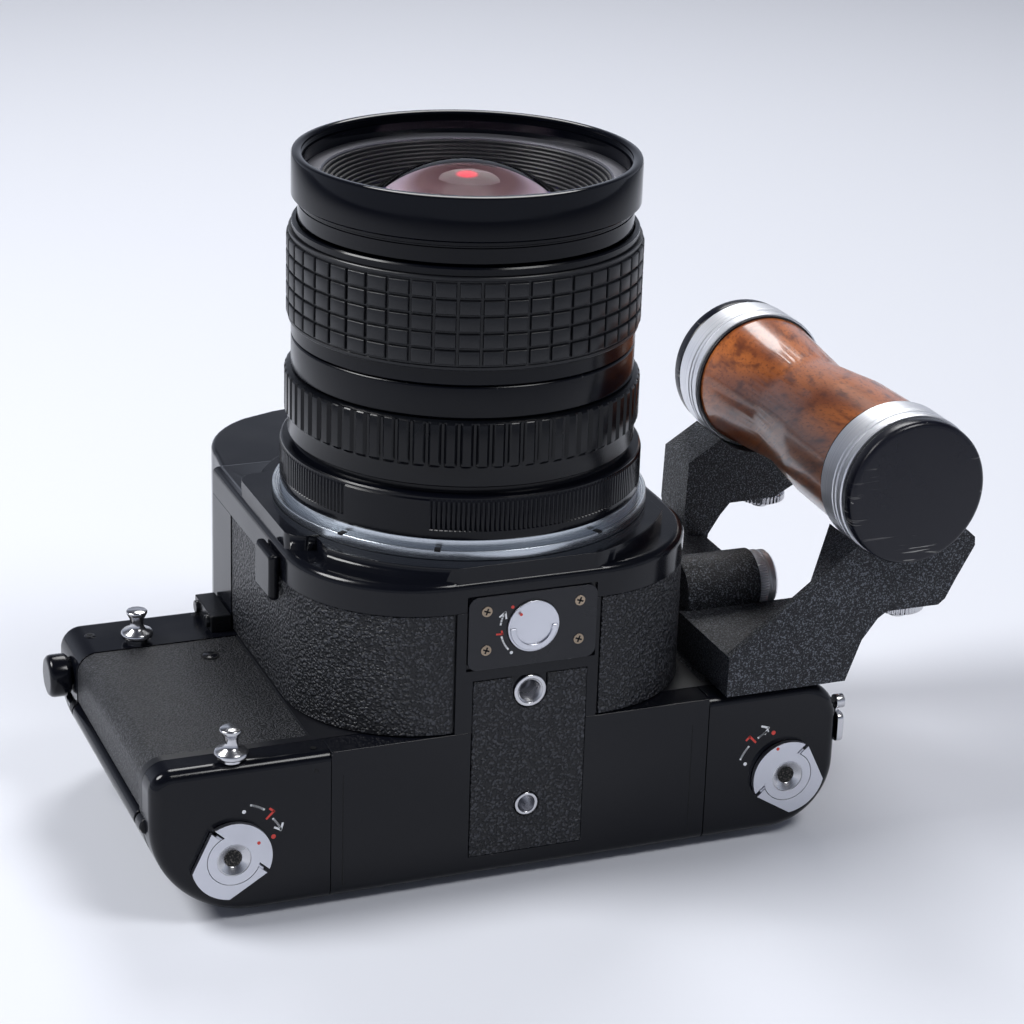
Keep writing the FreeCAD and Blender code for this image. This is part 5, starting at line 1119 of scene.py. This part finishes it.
    def dome(self):
        """The bulging front glass, with the inner lens and its painted reflections showing inside
        it.
        """
        low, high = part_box("lens_front_glass")
        back, apex, half = low.z / MM, high.z / MM, high.x / MM
        edge = back + 6.3
        inner, rim = half - 4.3, edge - 2.0
        for name, finish, foot, side, level, top, stands in (
                ("lens_front_dome", "front glass", [(0, back), (half, back)], half, edge, apex,
                 True),
                ("lens_inner_dome", "coated", [
                    (0, back + 0.6), (half - 0.3, back + 0.6), (half - 0.3, back + 1.0),
                    (inner + 0.4, rim - 0.8)], inner, rim, apex - 4.5, False)):
            sag = top - level
            sphere = (side * side + sag * sag) / (2 * sag)
            turns = [math.asin(side / sphere) * (1 - step / 24) for step in range(25)]
            arch = [(sphere * math.sin(turn), top - sphere * (1 - math.cos(turn)))
                    for turn in turns]
            turned(name, foot + arch, finish, "lens_front_glass", stands, steps=128,
                   closed=False)

    def scales(self):
        """Plain figures and ticks on the side of the lens that faces the finder."""
        still, stops, reach, red = bmesh.new(), bmesh.new(), bmesh.new(), bmesh.new()
        ring_scale(stops, ("4.5", "5.6", "8", "11", "16", "22"), 90, -8.5, 43.83, 105.0, 2.2,
                   (107.0, 0.7))
        ring_scale(reach, ("0.7", "0.8", "1", "1.5", "2", "3", "5", "10"), 112, -11, 43.03,
                   130.2, 1.9)
        for side in (-1, 1):
            ring_scale(still, ("8", "16", "22"), 90 + 4 * side, 4 * side, 43.03, 124.0, 1.6,
                       (126.4, 1.6))
        tick(red, 90, 43.03, 124.6, 4.6, 0.5)
        tick(red, 90, 43.83, 119.0, 0.1, 0.1)
        disc(red, 0.9, (0, 45.77, 96.2))
        added("aperture_figures", stops, "white paint", "aperture_ring")
        added("distance_figures", reach, "white paint", "focus_ring")
        added("depth_scale", still, "white paint", "lens_barrel")
        added("lens_index_marks", red, "red paint", "lens_barrel")


class CAMERA_OT_grip(PieceOperator, bpy.types.Operator):
    """The side grip: bracket, wooden handle, rings, caps and wheels"""

    bl_idname = "camera_model.grip"
    bl_label = "Side grip"
    surfaces = (("grip_bracket", "wrinkle", 0.7), ("grip_handle", "wood", 0.3))

    def build(self):
        self.rings_and_caps()
        self.wheels()

    def rings_and_caps(self):
        """What is stacked on each end of the wood: a thin black ring of painted shade, a ring and
        a cap.
        """
        near_wood, near_cap, far_wood, far_cap = -40.0, -51.0, 35.5, 46.5
        bm = bmesh.new()
        for low, high, groove in ((near_cap, near_wood, -48.2), (far_wood, far_cap, 38.6)):
            spun([(9.06, low), (19.0, low), (19.3, low + 0.3), (19.3, groove - 0.6),
                  (18.9, groove - 0.4), (18.9, groove), (19.3, groove + 0.2),
                  (19.3, groove + 1.3), (19.05, groove + 1.5), (19.05, groove + 1.7),
                  (19.3, groove + 1.9), (19.3, high - 0.3), (19.0, high), (9.06, high)],
                 128, bm=bm)
        place(bm, "y", HANDLE)
        added("grip_rings_turned", bm, "brushed", "grip_rings", True)
        # thin black rings: painted shade where the wood meets each metal ring
        shade_rings = bmesh.new()
        for level in (near_wood, far_wood - 0.9):
            spun([(17.0, level), (18.75, level), (18.75, level + 0.9), (17.0, level + 0.9)], 96,
                 bm=shade_rings)
        place(shade_rings, "y", HANDLE)
        added("handle_spacers", shade_rings, "black steel", "grip_caps")
        caps = bmesh.new()
        for end, seat in ((near_cap - 5.0, near_cap), (far_cap + 5.0, far_cap)):
            spun([(0, end), (18.95, end), (18.95, seat), (0, seat)], 128, closed=False, bm=caps)
        bmesh.ops.recalc_face_normals(caps, faces=caps.faces)
        round_edges(caps, 1.5, 5, 40.0)
        place(caps, "y", HANDLE)
        added("grip_caps_rounded", caps, "cap", "grip_caps", True, 50.0)

    def wheels(self):
        for side, y in (("near", -43.0), ("far", 38.5)):
            name = "grip_wheel_" + side
            turned(name + "_knurled", [
                (0, 55.5), (2.1, 55.5), (2.6, 55.9), (2.6, 56.4), (1.9, 56.8), (1.9, 57.7),
                (6.3, 57.7), (6.8, 58.1), (6.8, 59.7), (6.3, 60.1), (1.5, 60.1), (1.5, 78.0),
                (0, 78.0)], "steel", name, centre=(105.5, y, 0), steps=144, closed=False,
                shape=lambda bm: flute(bm, 36, 57.9, 59.9, 0.45, 0.5, 6.5))
        turned("bracket_knob_knurled", [
            (0, 58.0), (2.4, 58.0), (2.4, 77.6), (7.3, 77.6), (7.8, 78.1), (7.8, 79.7),
            (7.3, 80.0), (7.3, 80.3), (7.6, 80.6), (7.6, 81.9), (7.1, 82.5), (5.4, 82.5),
            (5.0, 82.0), (1.6, 82.0), (1.4, 82.3), (0, 82.3)], "satin", "bracket_knob",
            axis="x", centre=(0, -13.0, 56.5), steps=256, closed=False,
            shape=lambda bm: flute(bm, 64, 78.0, 79.8, 0.3, 0.5, 7.5))


# the view of the photograph: yaw, pitch and roll in degrees, place in mm, focal length in pixels
VIEW_TURNS = (21.92457, 21.3378, 1.85443)
VIEW_PLACE = (-251.051, -660.374, 355.925)
VIEW_FOCAL, VIEW_PIXELS = 2962.875, 1024


class CAMERA_OT_stage(PieceOperator, bpy.types.Operator):
    """Pale floor, soft studio lamps and the camera"""

    bl_idname = "camera_model.stage"
    bl_label = "Stage"

    def build(self):
        self.floor()
        self.lamps()
        self.viewpoint()

    def floor(self):
        bm = bmesh.new()
        bmesh.ops.create_grid(bm, x_segments=1, y_segments=1, size=3.0)
        mesh = bpy.data.meshes.new("floor")
        bm.to_mesh(mesh)
        bm.free()
        material = bpy.data.materials.new("pale floor")
        material.use_nodes = True
        surface = material.node_tree.nodes["Principled BSDF"]
        surface.inputs["Base Color"].default_value = (*settings("stage").floor, 1.0)
        surface.inputs["Roughness"].default_value = 0.8
        mesh.materials.append(material)
        floor = bpy.data.objects.new("floor", mesh)
        bpy.context.scene.collection.objects.link(floor)

    def lamps(self):
        stage = settings("stage")
        scene = bpy.context.scene
        for name, spot, size, share in (
                ("key_lamp", (-0.85, 0.25, 1.05), 0.55, 1.0),
                ("fill_lamp", (0.42, -0.62, 1.12), 0.45, 0.42),
                ("top_lamp", (0.35, 0.85, 1.1), 0.6, 0.5)):
            light = bpy.data.lights.new(name, "AREA")
            light.shape = "DISK"
            light.size = size
            light.energy = stage.key_power * share * 4.0
            lamp = bpy.data.objects.new(name, light)
            scene.collection.objects.link(lamp)
            lamp.location = spot
            aim = Vector((0.0, 0.0, 0.08)) - Vector(spot)
            lamp.rotation_euler = aim.to_track_quat("-Z", "Y").to_euler()
        world = bpy.data.worlds.new("studio")
        scene.world = world
        world.use_nodes = True
        tree = world.node_tree
        # pale round the horizon and dark overhead, as in a room with a pale backdrop
        plain = tree.nodes["Background"]
        plain.inputs["Strength"].default_value = 1.0
        where = node(tree, "ShaderNodeTexCoord")
        parts = node(tree, "ShaderNodeSeparateXYZ")
        shade = node(tree, "ShaderNodeMix", data_type="RGBA")
        shade.inputs[6].default_value = (0.52, 0.56, 0.66, 1.0)
        shade.inputs[7].default_value = (0.045, 0.05, 0.07, 1.0)
        wire(tree, where.outputs["Generated"], parts.inputs[0])
        wire(tree, remap(tree, parts.outputs["Z"], 0.12, 0.55), shade.inputs[0])
        wire(tree, shade.outputs[2], plain.inputs["Color"])

    def viewpoint(self):
        scene = bpy.context.scene
        yaw, pitch, roll = (math.radians(turn) for turn in VIEW_TURNS)
        ahead = Vector((math.sin(yaw) * math.cos(pitch), math.cos(yaw) * math.cos(pitch),
                        -math.sin(pitch)))
        level = Vector((math.cos(yaw), -math.sin(yaw), 0.0))
        rise = level.cross(ahead)
        right = level * math.cos(roll) + rise * math.sin(roll)
        up = rise * math.cos(roll) - level * math.sin(roll)
        view = bpy.data.cameras.new("photo_view")
        view.sensor_width = 36.0
        view.lens = VIEW_FOCAL / VIEW_PIXELS * view.sensor_width
        view.clip_start = 0.01
        viewer = bpy.data.objects.new("photo_view", view)
        scene.collection.objects.link(viewer)
        turn = Matrix((right, up, -ahead)).transposed().to_4x4()
        viewer.matrix_world = Matrix.Translation(Vector(VIEW_PLACE) * MM) @ turn
        scene.camera = viewer
        scene.view_settings.view_transform = "Standard"


OPERATORS = (
    CAMERA_OT_body, CAMERA_OT_mirror_box, CAMERA_OT_inner, CAMERA_OT_keys,
    CAMERA_OT_controls, CAMERA_OT_fittings, CAMERA_OT_lens, CAMERA_OT_grip,
    CAMERA_OT_stage)
SETTINGS = {
    "camera_body": CameraBodySettings, "camera_lens": CameraLensSettings,
    "camera_grip": CameraGripSettings, "camera_stage": CameraStageSettings}


class CAMERA_PT_model(bpy.types.Panel):
    """Lists the settings and the operators of the camera model"""

    bl_idname = "CAMERA_PT_model"
    bl_label = "Camera model"
    bl_space_type = "VIEW_3D"
    bl_region_type = "UI"
    bl_category = "Camera model"

    def draw(self, context):
        for name, group in SETTINGS.items():
            column = self.layout.column()
            for label in group.__annotations__:
                column.prop(getattr(context.scene, name), label)
        for operator in OPERATORS:
            self.layout.operator(operator.bl_idname)


CLASSES = (*SETTINGS.values(), *OPERATORS, CAMERA_PT_model)


def register():
    for kind in CLASSES:
        bpy.utils.register_class(kind)
    for name, group in SETTINGS.items():
        setattr(bpy.types.Scene, name, PointerProperty(type=group))


def unregister():
    for name in SETTINGS:
        delattr(bpy.types.Scene, name)
    for kind in reversed(CLASSES):
        bpy.utils.unregister_class(kind)


def main():
    register()
    for operator in OPERATORS:
        group, name = operator.bl_idname.split(".")
        getattr(getattr(bpy.ops, group), name)()


if __name__ == "__main__":
    main()
